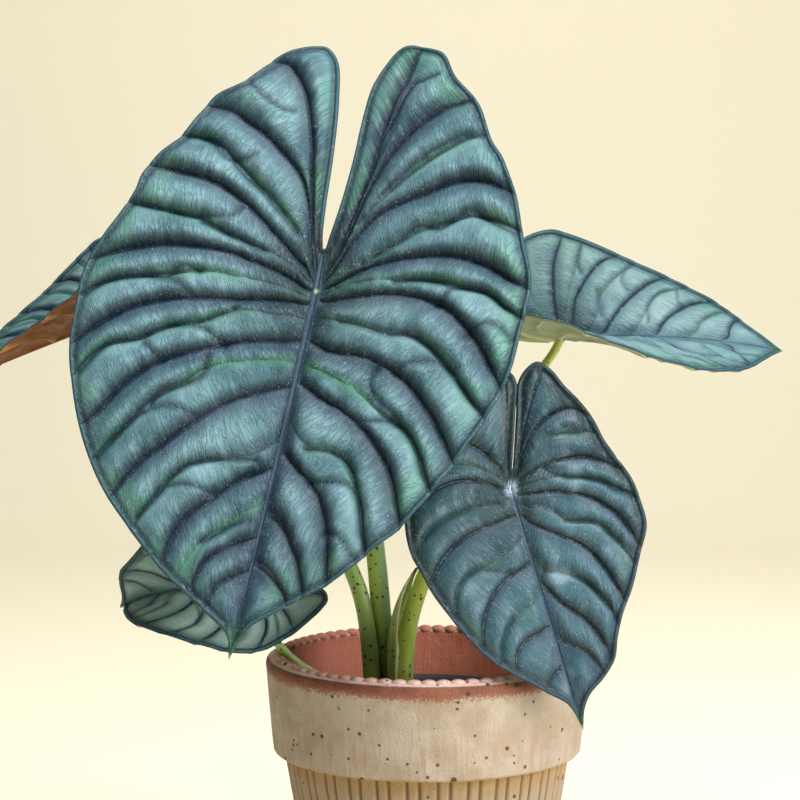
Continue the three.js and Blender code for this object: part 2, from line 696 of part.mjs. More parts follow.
const SMALL_BLADE = {
  length: 102,
  lobes: 48,
  sinus: 8,
  rows: 7,
  halves: [
    {
      crown: [2, 44],
      margin: [
        [0.6, 15], [0.9, 30], [1.5, 42], [4, 47], [9, 48], [15, 44], [23, 36], [31, 27], [38, 17], [44, 8],
        [47.5, -3], [48.5, -12], [46.5, -22.5], [43.5, -34], [39.5, -44.5], [35, -54.5], [28.5, -65],
        [18.5, -75.5], [9, -84.5], [3, -90.5], [1, -96],
      ],
      veins: [
        { root: 5, run: [[1.8, 9], [2.8, 13.5], [3.6, 23.5], [4.2, 31.5], [4.8, 39], [6.5, 48]] },
        { root: 3.6, run: [[3.5, 6.5], [7, 10.5], [11.2, 15], [15.7, 19], [24, 24], [32, 26]] },
        { root: 2, faint: true, run: [[6, 5.5], [14, 11], [24, 15], [33, 16], [39, 16]] },
        {
          root: 0.5,
          run: [[4, 0.8], [8.8, 3.5], [15, 6.5], [23.4, 9], [30, 9], [35.3, 7.5], [40, 5], [47, 0]],
        },
        {
          root: -3,
          faint: true,
          run: [[6.5, -4.5], [12.5, -3.5], [26, -3.5], [33, -4.5], [41.5, -9], [48, -16]],
        },
        { root: -11, run: [[8.5, -11.5], [20, -12.5], [31.5, -16.5], [39.5, -22.5], [45, -29]] },
        {
          root: -20,
          faint: true,
          run: [[8, -24], [16, -27], [23, -27.5], [29, -29], [34, -33.5], [38.5, -47]],
        },
        {
          root: -31,
          run: [[4.5, -32.5], [9, -33.5], [14.5, -35.5], [23, -42.5], [28.5, -52], [31, -61.5]],
        },
        { root: -45, faint: true, run: [[7, -48.5], [15, -51], [20, -56], [22.5, -60], [25, -69.5]] },
        { root: -58, run: [[6.5, -59.5], [11.5, -60.5], [15.5, -63], [18.5, -67], [20, -74]] },
        { root: -75, run: [[4, -77], [8, -80], [10, -83.5]] },
      ],
    },
    {
      crown: [2, 44],
      margin: [
        [0.6, 15], [0.9, 30], [1.5, 42], [4, 46.5], [8, 47.5], [12, 45], [15.5, 41.5], [20.5, 34.5],
        [27, 27], [33.5, 18.5], [39.5, 8], [45, 0], [48.5, -9], [49.5, -19], [49, -29.5], [43, -40.5],
        [36, -52.5], [29, -62], [24.5, -70], [20.5, -78.5], [14, -84.5], [7, -89], [3, -94],
      ],
      veins: [
        { root: 5, run: [[1.6, 9], [2.6, 14], [3.8, 21.5], [5.4, 28.5], [7.5, 35.5], [11.5, 45]] },
        {
          root: 4,
          run: [[2.6, 8], [4, 13.5], [7, 18.5], [11.3, 22.5], [16.2, 24.5], [24, 24.5], [33.5, 18.5]],
        },
        {
          root: 3,
          faint: true,
          run: [[4.6, 8.5], [9.3, 12.5], [15, 16], [25.5, 14.5], [32, 13], [38, 10.5]],
        },
        {
          root: 1.5,
          run: [[3.9, 3], [9.8, 4.5], [16.2, 6], [22.9, 5.5], [29.3, 4.5], [35.7, 2], [41, -1], [47, -6]],
        },
        {
          root: -0.8,
          faint: true,
          run: [[10, 0], [21, -1], [28.5, -3], [36, -7], [42, -12], [49.3, -19]],
        },
        { root: -3, run: [[9, -4.5], [17, -6], [30, -12.5], [39, -22.5], [44, -38.5]] },
        {
          root: -7,
          faint: true,
          run: [[6, -10], [12, -13], [18, -18.5], [29, -23], [34, -30], [40, -45]],
        },
        { root: -12, run: [[4, -16], [13.5, -23.5], [23, -32.5], [28.5, -44.5], [32, -58]] },
        { root: -30, faint: true, run: [[5, -37], [12, -40], [20, -46.5], [25, -58], [26, -67]] },
        { root: -40, run: [[6, -49.5], [14, -60], [18.5, -71.5], [19.5, -80]] },
        { root: -64, run: [[6.5, -68.5], [11, -73], [15, -83.5]] },
      ],
    },
  ],
};

const NARROW_HALF = {
  crown: [4, 48],
  margin: [
    [0.7, 16], [1, 30], [2, 42], [5, 49.5], [11, 52], [19, 50], [28, 44.5], [37, 35.5], [44.5, 25], [49, 14],
    [49.5, 6], [47.5, 0], [44, -8.5], [40, -18], [36, -28], [32.5, -38], [29.5, -48], [26.5, -58], [24, -66],
    [21, -75.5], [17.5, -84], [13.5, -91.5], [9, -99], [5, -106], [1.8, -112],
  ],
  veins: [
    { root: 6, run: [[2.4, 11], [4.5, 20], [7, 30], [10, 40], [14, 51.5]] },
    { root: 4, run: [[4, 8], [10, 16], [18, 24], [28, 31], [38, 34]] },
    { root: 3, faint: true, run: [[6, 6], [16, 13], [28, 18], [38, 18], [47, 19]] },
    { root: 1, run: [[10, 3], [17, 4.2], [26, 4.9], [35, 4.6], [47.5, 0.5]] },
    { root: -1.5, faint: true, run: [[12, -2], [24, -4], [34, -6], [44, -9]] },
    { root: -4.5, run: [[9, -4.8], [16.6, -5.6], [24, -9.1], [29.7, -13.3], [34, -18.6], [36.5, -27]] },
    { root: -11, faint: true, run: [[9.5, -16], [20, -19], [27, -25.5], [33.5, -35]] },
    {
      root: -19.5,
      run: [[2.8, -20.4], [9.5, -24.6], [16.4, -31], [22.2, -38.4], [26.1, -46.2], [28, -53.5]],
    },
    { root: -33, faint: true, run: [[6.7, -37], [13, -41], [19.4, -47], [22.5, -56], [24.5, -64.5]] },
    { root: -45, run: [[7.2, -49.1], [11.8, -55.3], [16.1, -64], [18.5, -73], [18.8, -81]] },
    { root: -62, faint: true, run: [[4, -66], [8.7, -70], [13.3, -78], [15.7, -88]] },
    { root: -80, run: [[2.7, -83], [7.6, -85.2], [11.1, -89], [12.2, -94]] },
  ],
};
const NARROW_BLADE = {
  length: 116,
  lobes: 52,
  sinus: 9,
  rows: 8,
  halves: [NARROW_HALF, NARROW_HALF],
};

/** A blade pattern at another size and number of rows, mirrored if asked. */
function sized(pattern, scale, rows, mirror = false) {
  const resize = ([x, y]) => [x * scale, y * scale];
  const halves = pattern.halves.map(({ crown, margin, veins }) => ({
    crown: resize(crown),
    margin: margin.map(resize),
    veins: veins.map((vein) => ({ ...vein, root: vein.root * scale, run: vein.run.map(resize) })),
  }));
  return {
    rows,
    length: pattern.length * scale,
    lobes: pattern.lobes * scale,
    sinus: pattern.sinus * scale,
    halves: mirror ? halves.reverse() : halves,
  };
}

// Each leaf: where its stalk meets the blade, the way its tip points and its upper face looks, and its fold.
const LEAVES = {
  front: {
    pattern: LARGE_BLADE,
    attachment: [-45.5, -50, 286],
    aim: [-0.2, -0.34, -0.92],
    facing: [-0.13, -0.94, 0.33],
    fold: { tip: [7, 7], lobes: [7, 7] },
    curl: [0, 0],
    bend: { tip: -4, lobes: 8 },
    lean: -0.06,
    spineWidth: 2.4,
    route: [
      [-14, 3, 76], [-16, 3, 100], [-17.5, 3, 118], [-18.8, 3, 134], [-20.5, 3, 152], [-23, 3, 178],
      [-28, 2, 210], [-35, -5, 245], [-41, -22, 273],
    ],
    radii: [6, 4.6, 4.2, 3.8, 3.4, 3],
    colour: 0x4f7d80,
  },
  right: {
    pattern: SMALL_BLADE,
    attachment: [33.7, -52, 205.3],
    aim: [0.28, -0.1, -0.95],
    facing: [0.12, -0.98, 0.1],
    fold: { tip: [9, 9], lobes: [9, 9] },
    curl: [-6, -6],
    bend: { tip: -4, lobes: 28 },
    lean: 0.38,
    spineWidth: 1.3,
    route: [
      [-8, -7, 76], [-10, -6, 100], [-11.5, -5.5, 118], [-9.5, -5, 134], [-5.5, -5, 150], [-0.5, -6, 164],
      [8, -9, 182], [19, -18, 198], [29, -34, 206],
    ],
    radii: [5.2, 4.8, 3.8, 3.2, 2.8, 2.6],
    sheathed: true,
    colour: 0x46636b,
  },
  far: {
    pattern: NARROW_BLADE,
    attachment: [60.6, 36, 263.7],
    aim: [0.98, 0.158, 0.026],
    facing: [0, -0.831, 0.36],
    fold: { tip: [18.9, -5.5], lobes: [88.6, 49.3] },
    curl: [-8, -8],
    bend: { tip: 23.7, lobes: 0 },
    lean: 0,
    spineWidth: 1.3,
    route: [
      [-6, 9, 76], [-8, 9, 100], [-9, 9, 118], [-7.5, 9, 134], [-4.3, 10, 150], [1, 12, 164], [14, 18, 190],
      [32, 27, 222], [46, 35, 242], [56, 39, 255],
    ],
    radii: [3.4, 3.2, 2.6, 2.2, 2, 1.9],
    colour: 0x6f9296,
  },
  left: {
    pattern: sized(NARROW_BLADE, 0.754, 6),
    attachment: [-131.5, 6, 275.3],
    aim: [-0.838, -0.454, -0.303],
    facing: [-0.3, -0.169, 0.947],
    fold: { tip: [26, 26], lobes: [66, 66] },
    curl: [-8, -8],
    bend: { tip: 6, lobes: 0 },
    lean: 0,
    spineWidth: 1.2,
    route: [
      [-22, -5, 76], [-23, -4, 100], [-24, -3, 118], [-25.3, -2, 134], [-28.2, 0, 151], [-33, 4, 164],
      [-52, 12, 205], [-82, 17, 240], [-108, 14, 255], [-125, 9, 264],
    ],
    radii: [3.9, 3.7, 3.3, 2.8, 2.5, 2.3],
    colour: 0x5a7d78,
  },
  low: {
    pattern: sized(SMALL_BLADE, 0.704, 6, true),
    attachment: [-75.7, -15, 160.7],
    aim: [-0.996, -0.089, 0.014],
    facing: [0.114, -1.078, 0.508],
    fold: { tip: [48.5, 48.5], lobes: [0, 0] },
    curl: [0, 0],
    bend: { tip: 93, lobes: 38 },
    lean: 0,
    spineWidth: 0.9,
    route: [
      [-18, -12, 76], [-19, -12, 98], [-23, -11, 108], [-30, -9, 113], [-42, -7, 117], [-53, -7, 122.5],
      [-63, -7, 131.5], [-71, -4, 142], [-76, -4, 154],
    ],
    radii: [2.3, 2.2, 2, 1.9, 1.8, 1.8],
    colour: 0x5a7674,
  },
};

const STALK_COLOUR = 0x6f9a45;

/** The leaf's own frame: x to the right of the midrib, y towards the lobes, z out of the upper face. */
function leafFrame({ aim, facing, attachment }) {
  const y = new THREE.Vector3(...aim).normalize().negate();
  const z = new THREE.Vector3(...facing);
  z.addScaledVector(y, -z.dot(y)).normalize();
  const x = new THREE.Vector3().crossVectors(y, z);
  return new THREE.Matrix4().makeBasis(x, y, z).setPosition(...attachment);
}

/** A named mesh with its own matt material. */
function part(name, geometry, color, roughness, metalness = 0) {
  const mesh = new THREE.Mesh(geometry, new THREE.MeshStandardMaterial({ color, roughness, metalness }));
  mesh.name = name;
  return mesh;
}

const plant = new THREE.Group();
let mix = solid(
  turned(
    [
      [0, POT_FLOOR + LINER_WALL + 2 * GAP],
      [linerRadius(0) - LINER_WALL - GAP, POT_FLOOR + LINER_WALL + 2 * GAP],
      [linerRadius(MIX_TOP - POT_FLOOR) - LINER_WALL - GAP, MIX_TOP],
      [0, MIX_TOP],
    ],
    36,
  ),
);
for (const [name, spec] of Object.entries(LEAVES)) {
  const leaf = { ...spec.pattern, ...spec };
  leaf.spine = taperedSpine(leaf.length, leaf.sinus, leaf.spineWidth);
  const frame = leafFrame(leaf);
  const sheet = part(name + "_leaf_blade", blade(leaf), leaf.colour, 0.45);
  frame.decompose(sheet.position, sheet.quaternion, sheet.scale);
  const top = new THREE.Vector3(0, 0, -BLADE_THICKNESS - 2 * GAP).applyMatrix4(frame);
  const petiole = { route: [...leaf.route, top.toArray()], radii: leaf.radii };
  let stem = solid(stalk(petiole));
  if (leaf.sheathed) stem = stem.add(solid(sheath(petiole)));
  plant.add(sheet, part(name + "_leaf_stalk", surfaceOf(stem), STALK_COLOUR, 0.5));
  mix = mix.subtract(solid(stalk(petiole, GAP)));
}

const pots = new THREE.Group();
pots.add(
  part("terracotta_pot", terracottaPot(), 0xcbb48d, 0.85),
  part("growers_pot", growersPot(), 0x23262e, 0.5),
  part("potting_mix", surfaceOf(mix), 0x3b2a1e, 1),
);

const root = new THREE.Group();
root.add(pots, plant);
export default root;
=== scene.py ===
"""Potted silver nebula alocasia: quilted silvery leaves on spotted stalks, in a washed terracotta pot.

Sizes are in millimetres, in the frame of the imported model: +Z up, the origin at the middle of the pot's
underside, and the large leaf facing -Y. Meshes are handed to Blender in metres.
"""

import logging
import math
from dataclasses import dataclass, field, replace
from enum import Enum

import bpy
import numpy as np
from mathutils import Matrix, Vector


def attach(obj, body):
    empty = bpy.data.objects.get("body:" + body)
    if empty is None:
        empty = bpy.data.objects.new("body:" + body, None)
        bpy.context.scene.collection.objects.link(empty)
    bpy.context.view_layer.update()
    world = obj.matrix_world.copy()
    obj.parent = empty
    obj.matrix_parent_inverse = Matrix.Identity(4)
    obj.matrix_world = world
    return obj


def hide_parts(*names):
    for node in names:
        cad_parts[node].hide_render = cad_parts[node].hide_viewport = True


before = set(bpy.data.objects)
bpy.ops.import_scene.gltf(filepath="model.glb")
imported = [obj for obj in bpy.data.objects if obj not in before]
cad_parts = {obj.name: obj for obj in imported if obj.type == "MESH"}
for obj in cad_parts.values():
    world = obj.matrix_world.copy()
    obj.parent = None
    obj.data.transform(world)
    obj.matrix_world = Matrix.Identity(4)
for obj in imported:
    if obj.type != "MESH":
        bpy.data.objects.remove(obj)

log = logging.getLogger("alocasia")

METRES = 0.001
BODY = "root"
FAR_AWAY = 40.0
BLOCK = 4096

FlatPoint = tuple[float, float]
Place = tuple[float, float, float]


def linear(colour: str) -> tuple[float, float, float, float]:
    """Turns an sRGB hex colour into the linear colour that a shader reads.

    Args:
        colour: Six hex digits after a "#".

    Returns:
        Linear red, green and blue, and an alpha of 1.
    """
    shares = [int(colour[i : i + 2], 16) / 255 for i in (1, 3, 5)]
    red, green, blue = (s / 12.92 if s <= 0.04045 else ((s + 0.055) / 1.055) ** 2.4 for s in shares)
    return red, green, blue, 1.0


def add_node(
    tree: bpy.types.NodeTree, kind: str, settings: dict | None = None, links: dict | None = None
) -> bpy.types.Node:
    """Adds one node to a material.

    Args:
        tree: The node tree that takes it.
        kind: The node's Blender type.
        settings: Properties by name, and input values by socket name or number.
        links: Output sockets of other nodes, by the input's name or number.

    Returns:
        The new node.
    """
    node = tree.nodes.new(kind)
    for key, value in (settings or {}).items():
        if isinstance(key, str) and key not in node.inputs and hasattr(node, key):
            setattr(node, key, value)
        else:
            node.inputs[key].default_value = value
    for key, output in (links or {}).items():
        tree.links.new(output, node.inputs[key])
    return node


def smooth(value: np.ndarray, low: float, high: float) -> np.ndarray:
    """Rises smoothly from 0 at the low value to 1 at the high one."""
    share = np.clip((value - low) / (high - low), 0, 1)
    return share * share * (3 - 2 * share)


def lerp(first: np.ndarray, second: np.ndarray, share: np.ndarray) -> np.ndarray:
    """Goes from the first value to the second by a share."""
    return first + (second - first) * share


def bump(distance: np.ndarray, width: float) -> np.ndarray:
    """A soft bump of height 1 at distance 0 that is gone by about twice its width."""
    return np.exp(-((distance / width) ** 2))


def rolling(points: np.ndarray, pitch: float, seed: int) -> np.ndarray:
    """Smooth random relief over flat points.

    Args:
        points: Flat points, one a row.
        pitch: Distance between neighbouring swells.
        seed: Number that the pattern is made from.

    Returns:
        A value between -1 and 1 for each point.
    """
    size = 64
    lattice = np.random.default_rng(seed).uniform(-1, 1, (size, size))
    place = points / pitch
    cell = np.floor(place).astype(int)
    x, y = np.moveaxis(smooth(place - cell, 0, 1), -1, 0)
    column, row = np.moveaxis(cell % size, -1, 0)
    right, above = (column + 1) % size, (row + 1) % size
    near = lerp(lattice[column, row], lattice[right, row], x)
    return lerp(near, lerp(lattice[column, above], lattice[right, above], x), y)


def distance_to(points: np.ndarray, path: np.ndarray) -> np.ndarray:
    """Distance from each flat point to a path of straight pieces.

    Args:
        points: Flat points in an array of any shape that ends in 2.
        path: The path's corners, one a row.

    Returns:
        The distances, in the shape of the points.
    """
    flat = points.reshape(-1, 2)
    start, step = path[:-1], np.diff(path, axis=0)
    size = np.maximum((step**2).sum(axis=1), 1e-12)
    nearest = np.empty(len(flat))
    # A block of points at a time, so that the table of distances stays small.
    for first in range(0, len(flat), BLOCK):
        block = flat[first : first + BLOCK, None]
        share = np.clip(((block - start) * step).sum(axis=2) / size, 0, 1)
        gap = block - start - share[..., None] * step
        nearest[first : first + BLOCK] = (gap**2).sum(axis=2).min(axis=1)
    return np.sqrt(nearest).reshape(points.shape[:-1])


class Curve:
    """A smooth curve through points, read by its share of length."""

    SEARCH_STEPS = 801

    def __init__(self, points: np.ndarray, fineness: int = 24) -> None:
        """Samples the curve.

        Args:
            points: The points that it runs through, one a row.
            fineness: Samples between two points.
        """
        points = np.asarray(points, float)
        ends = np.vstack([2 * points[0] - points[1], points, 2 * points[-1] - points[-2]])
        gaps = np.maximum(np.linalg.norm(np.diff(ends, axis=0), axis=1) ** 0.5, 1e-4)
        pieces = []
        for i in range(1, len(ends) - 2):
            before, here, there, after = ends[i - 1 : i + 3]
            first, middle, last = gaps[i - 1 : i + 2]
            leave = (here - before) / first - (there - before) / (first + middle) + (there - here) / middle
            arrive = (there - here) / middle - (after - here) / (middle + last) + (after - there) / last
            t = np.linspace(0, 1, fineness, endpoint=False)[:, None]
            pieces.append(
                (2 * t**3 - 3 * t**2 + 1) * here
                + (t**3 - 2 * t**2 + t) * leave * middle
                + (3 * t**2 - 2 * t**3) * there
                + (t**3 - t**2) * arrive * middle
            )
        self.samples = np.vstack([*pieces, points[-1:]])
        steps = np.linalg.norm(np.diff(self.samples, axis=0), axis=1)
        self.travelled = np.concatenate([[0], np.cumsum(steps)])
        self.length = float(self.travelled[-1])

    def at(self, share: np.ndarray) -> np.ndarray:
        """Points of the curve at shares of its length, with one more axis than the shares."""
        place = np.asarray(share) * self.length
        axes = [np.interp(place, self.travelled, axis) for axis in self.samples.T]
        return np.stack(axes, axis=-1)

    def share_near(self, point: np.ndarray) -> float:
        """The share of its length at which the curve passes closest to a point."""
        shares = np.linspace(0, 1, self.SEARCH_STEPS)
        return float(shares[np.argmin(np.linalg.norm(self.at(shares) - point, axis=1))])


@dataclass
class Chain:
    """Vertices in a row, and how far along the row each of them lies."""

    vertices: np.ndarray
    places: np.ndarray

    def turned(self) -> "Chain":
        """The same chain, run the other way."""
        return Chain(self.vertices[::-1], -self.places[::-1])

    def then(self, other: "Chain") -> "Chain":
        """This chain and then another one."""
        vertices = np.concatenate([self.vertices, other.vertices])
        return Chain(vertices, np.concatenate([self.places, other.places]))


@dataclass
class Skin:
    """The vertices, faces and named vertex values of one mesh, gathered patch by patch."""

    points: list[np.ndarray] = field(default_factory=list)
    faces: list[np.ndarray] = field(default_factory=list)
    values: dict[str, list[np.ndarray]] = field(default_factory=dict)
    count: int = 0

    def add(self, points: np.ndarray, **values: np.ndarray | float) -> np.ndarray:
        """Adds vertices.

        Args:
            points: Their places, in an array of any shape that ends in 3.
            **values: One number for all of them, or an array of the same shape.

        Returns:
            Their numbers in the mesh, in the shape of the points.
        """
        shape = points.shape[:-1]
        size = int(np.prod(shape))
        self.points.append(points.reshape(-1, 3))
        for name in {*self.values, *values}:
            known = self.values.setdefault(name, [np.zeros(self.count)])
            known.append(np.broadcast_to(values.get(name, 0.0), shape).reshape(-1).astype(float))
        self.count += size
        return np.arange(self.count - size, self.count).reshape(shape)

    def grid(self, index: np.ndarray, closed: bool = False, flip: bool = False) -> None:
        """Joins a grid of vertices with four-sided faces.

        Args:
            index: Vertex numbers, in rows and columns.
            closed: Whether the last column meets the first.
            flip: Whether the faces turn the other way.
        """
        if closed:
            index = np.hstack([index, index[:, :1]])
        near, far = index[:-1], index[1:]
        quads = np.stack([near[:, :-1], near[:, 1:], far[:, 1:], far[:, :-1]], axis=-1).reshape(-1, 4)
        self.faces.append(quads[:, ::-1] if flip else quads)

    def stitch(self, first: Chain, second: Chain, flip: bool = False) -> None:
        """Joins two chains that run side by side, each with its own number of steps.

        Args:
            first: One chain.
            second: The other.
            flip: Whether the faces turn the other way.
        """
        i, j, rows = 0, 0, []
        ahead = [np.append(chain.places[1:], math.inf) for chain in (first, second)]
        while i + 1 < len(first.vertices) or j + 1 < len(second.vertices):
            here, there = first.vertices[i], second.vertices[j]
            if ahead[0][i] <= ahead[1][j]:
                i += 1
                rows.append((here, first.vertices[i], there, there))
            else:
                j += 1
                rows.append((here, second.vertices[j], there, there))
        triangles = np.array(rows)
        self.faces.append(triangles[:, [1, 0, 2, 2]] if flip else triangles)

    def cap(self, ring: np.ndarray, centre: np.ndarray, flip: bool = False, **values: float) -> None:
        """Closes a ring of vertices with a fan.

        Args:
            ring: Vertex numbers round the ring.
            centre: The fan's middle point.
            flip: Whether the faces turn the other way.
            **values: Values of the middle point.
        """
        middle = self.add(np.asarray(centre, float)[None], **values)[0]
        middles = np.full(len(ring), middle)
        fan = np.stack([ring, np.roll(ring, -1), middles, middles], axis=-1)
        self.faces.append(fan[:, [1, 0, 2, 2]] if flip else fan)

    def object(self, name: str) -> bpy.types.Object:
        """Makes the mesh object, in metres and smooth shaded.

        Args:
            name: The piece's name.

        Returns:
            The object, linked to the scene.
        """
        points = np.vstack(self.points) * METRES
        faces = np.vstack(self.faces)
        kept = faces != np.roll(faces, -1, axis=1)
        sides = kept.sum(axis=1)
        corners = faces[sides >= 3][kept[sides >= 3]]
        sides = sides[sides >= 3]
        used, corners = np.unique(corners, return_inverse=True)
        points = points[used]
        mesh = bpy.data.meshes.new(name)
        mesh.vertices.add(len(points))
        mesh.vertices.foreach_set("co", points.ravel().astype(np.float32))
        mesh.loops.add(len(corners))
        mesh.loops.foreach_set("vertex_index", corners.astype(np.int32))
        mesh.polygons.add(len(sides))
        mesh.polygons.foreach_set("loop_start", np.concatenate([[0], np.cumsum(sides)[:-1]]).astype(np.int32))
        mesh.update(calc_edges=True)
        mesh.shade_smooth()
        for title, parts in self.values.items():
            layer = mesh.attributes.new(title, "FLOAT", "POINT")
            layer.data.foreach_set("value", np.concatenate(parts)[used].astype(np.float32))
        mesh.validate()
        piece = bpy.data.objects.new(name, mesh)
        bpy.context.scene.collection.objects.link(piece)
        return piece


def place_piece(piece: bpy.types.Object, node: str, material: bpy.types.Material) -> None:
    """Gives a finished piece its material, and lets it stand for its solid.

    Args:
        piece: The piece.
        node: The solid that it stands for.
        material: Its finish.
    """
    piece.data.materials.append(material)
    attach(piece, BODY)
    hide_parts(node)
    triangles = sum(len(p.vertices) - 2 for p in piece.data.polygons)
    log.info("%s: %d triangles, finished in %s", piece.name, triangles, material.name)


class Side(Enum):
    """A half of a blade, seen from above with the tip down. Its value is the sign of x there."""

    LEFT = -1.0
    RIGHT = 1.0


class Face(Enum):
    """A face of a blade."""

    UPPER = 0.0
    UNDER = 1.0


@dataclass(frozen=True)
class Vein:
    """One vein of a half: where it leaves the midrib, and the flat points that it runs through."""

    root: float
    run: tuple[FlatPoint, ...]
    faint: bool = False


@dataclass(frozen=True)
class HalfPattern:
    """One half of a blade laid flat, x out from the midrib and y towards the lobes."""

    crown: FlatPoint
    margin: tuple[FlatPoint, ...]
    veins: tuple[Vein, ...]
    creases: tuple[tuple[FlatPoint, ...], ...]

    def sized(self, scale: float) -> "HalfPattern":
        """The same half at another size."""

        def resize(points: tuple[FlatPoint, ...]) -> tuple[FlatPoint, ...]:
            """Flat points at the new size."""
            return tuple((x * scale, y * scale) for x, y in points)

        veins = tuple(Vein(v.root * scale, resize(v.run), v.faint) for v in self.veins)
        creases = tuple(resize(run) for run in self.creases)
        return HalfPattern(resize((self.crown,))[0], resize(self.margin), veins, creases)


@dataclass(frozen=True)
class BladePattern:
    """A blade laid flat: its reach from the stalk to the tip and to the lobes, and its two halves."""

    length: float
    lobes: float
    sinus: float
    halves: tuple[HalfPattern, HalfPattern]

    def sized(self, scale: float, mirror: bool = False) -> "BladePattern":
        """The same blade at another size, mirrored if asked."""
        left, right = (half.sized(scale) for half in self.halves)
        halves = (right, left) if mirror else (left, right)
        return BladePattern(self.length * scale, self.lobes * scale, self.sinus * scale, halves)


LARGE_LEFT_HALF = HalfPattern(
    crown=(11, 110),
    margin=(
        (1.5, 25), (2.2, 38), (2.8, 61), (4.8, 87), (8.6, 106), (14, 111.5), (20, 110.5), (30.8, 104.5),
        (38.8, 96), (47, 85.5), (56.5, 77), (62, 67), (66.6, 57), (75, 45.5), (80, 36), (81.3, 28),
        (85, 19), (90.6, 6), (95, -6), (95.5, -18), (94.5, -31), (93, -44), (86, -64), (79, -79),
        (67, -97), (52, -112), (34, -127), (12, -140.5), (3, -147),
    ),
    veins=(
        Vein(8, ((3, 15), (5.6, 24), (8.2, 39), (10.7, 54), (13.8, 70), (19.3, 87), (29, 99), (38, 100))),
        Vein(6.5, (
            (4, 13), (6.8, 26), (9, 36), (13.7, 47), (20.7, 54.5), (34.5, 65), (49, 71.5), (59.5, 72),
        )),
        Vein(5, ((5, 11), (10.5, 22.5), (21, 33), (33.4, 42.5), (43, 50), (53, 56), (67, 56)), faint=True),
        Vein(3.5, ((5, 8), (10.5, 12), (23.5, 23), (36.5, 32.5), (50, 38.5), (62.5, 40), (78, 40))),
        Vein(2, ((10, 7.5), (24, 13), (41, 17.5), (51, 21), (61, 21.5), (73, 22), (83.5, 22)), faint=True),
        Vein(0, ((6, 1), (14, 4), (22.5, 6.5), (40, 9.5), (61, 8.5), (79, 3), (94.5, -5.5))),
        Vein(-3, (
            (18, -1.5), (35, -0.5), (48.5, -1), (58, -4), (70, -7.5), (80, -10.5), (88, -15), (95, -22),
        ), faint=True),
        Vein(-6, ((18, -7.5), (36, -10.5), (54, -14), (69, -20), (81.5, -29.5), (93, -43))),
        Vein(-13, (
            (16, -14), (31, -15), (43, -22), (55, -26.5), (66, -34), (78, -39.5), (84, -47), (89.5, -57),
        ), faint=True),
        Vein(-22, ((10, -24), (26, -27.5), (41, -34), (55.5, -42), (66, -53), (76.5, -70.5), (81, -75.5))),
        Vein(-32, ((18, -35), (36, -41), (45, -50.5), (54.5, -59), (62, -71), (72, -89)), faint=True),
        Vein(-42, ((9.5, -45), (24, -53), (35.5, -63.5), (45, -75), (53.5, -86), (62, -103))),
        Vein(-66, ((8, -74), (18, -77), (29.5, -80), (39, -88.5), (45.5, -101.5), (50, -113)), faint=True),
        Vein(-77, ((12.5, -84), (22, -94.5), (31, -106), (34, -117), (35, -126.5))),
        Vein(-91, ((6, -97), (13, -104), (20, -111), (25, -122), (28, -131)), faint=True),
        Vein(-106, ((10.5, -112), (18.5, -120), (20.5, -128), (20, -135.5))),
        Vein(-120, ((6, -123.5), (12, -129), (14, -139))),
    ),
    creases=(
        ((50, 90), (43.5, 86), (38.5, 82), (33, 78.5), (28.5, 77), (23, 77.5)),
        ((69, 55), (63, 56.5), (56.5, 56.5), (51.5, 54.5), (48, 50.5), (44, 49.5), (38, 51), (34.5, 54)),
        ((42.5, 48), (36, 42.5), (29.5, 38.5), (23, 33), (16.5, 27.5), (12, 22.5)),
        ((82, 22), (75.5, 22), (69, 22), (60.5, 21.5), (52, 22), (44, 23.5), (39, 25.5), (37, 29.5)),
        ((51.5, 20), (42.5, 17.5), (33.5, 15.5), (24.5, 13)),
        ((92, -20.5), (87.5, -15), (80, -10.5), (70.5, -7.5), (62, -6.5), (58.5, -3), (55, 0), (48.5, -1)),
        ((61, -6), (55.5, -8), (50.5, -11.5)),
        (
            (86, -53.5), (82.5, -46), (78, -39), (71.5, -36), (66, -34), (60.5, -29.5), (55, -26.5),
            (47.5, -24), (43, -22), (38, -18.5), (31, -14),
        ),
        ((64, -35.5), (59.5, -39), (55.5, -41.5)),
        ((47.5, -24), (41, -25), (36, -27.5), (31.5, -30.5)),
        (
            (70, -87), (66, -78.5), (62.5, -72), (58.5, -66), (55, -63), (54.5, -58.5), (50.5, -53.5),
            (43.5, -49.5), (38, -45), (37, -40.5), (37.5, -36),
        ),
        ((55, -63), (49, -60.5), (42.5, -60.5), (37.5, -62)),
        (
            (49, -108), (45.5, -101.5), (42, -95), (39, -88.5), (35.5, -83.5), (29.5, -80), (24, -78),
            (16, -77), (8, -76),
        ),
        ((40.5, -93), (35, -91), (29, -91), (22.5, -92)),
        ((22, -112.5), (16.5, -108), (11.5, -103.5), (4.5, -100)),
    ),
)
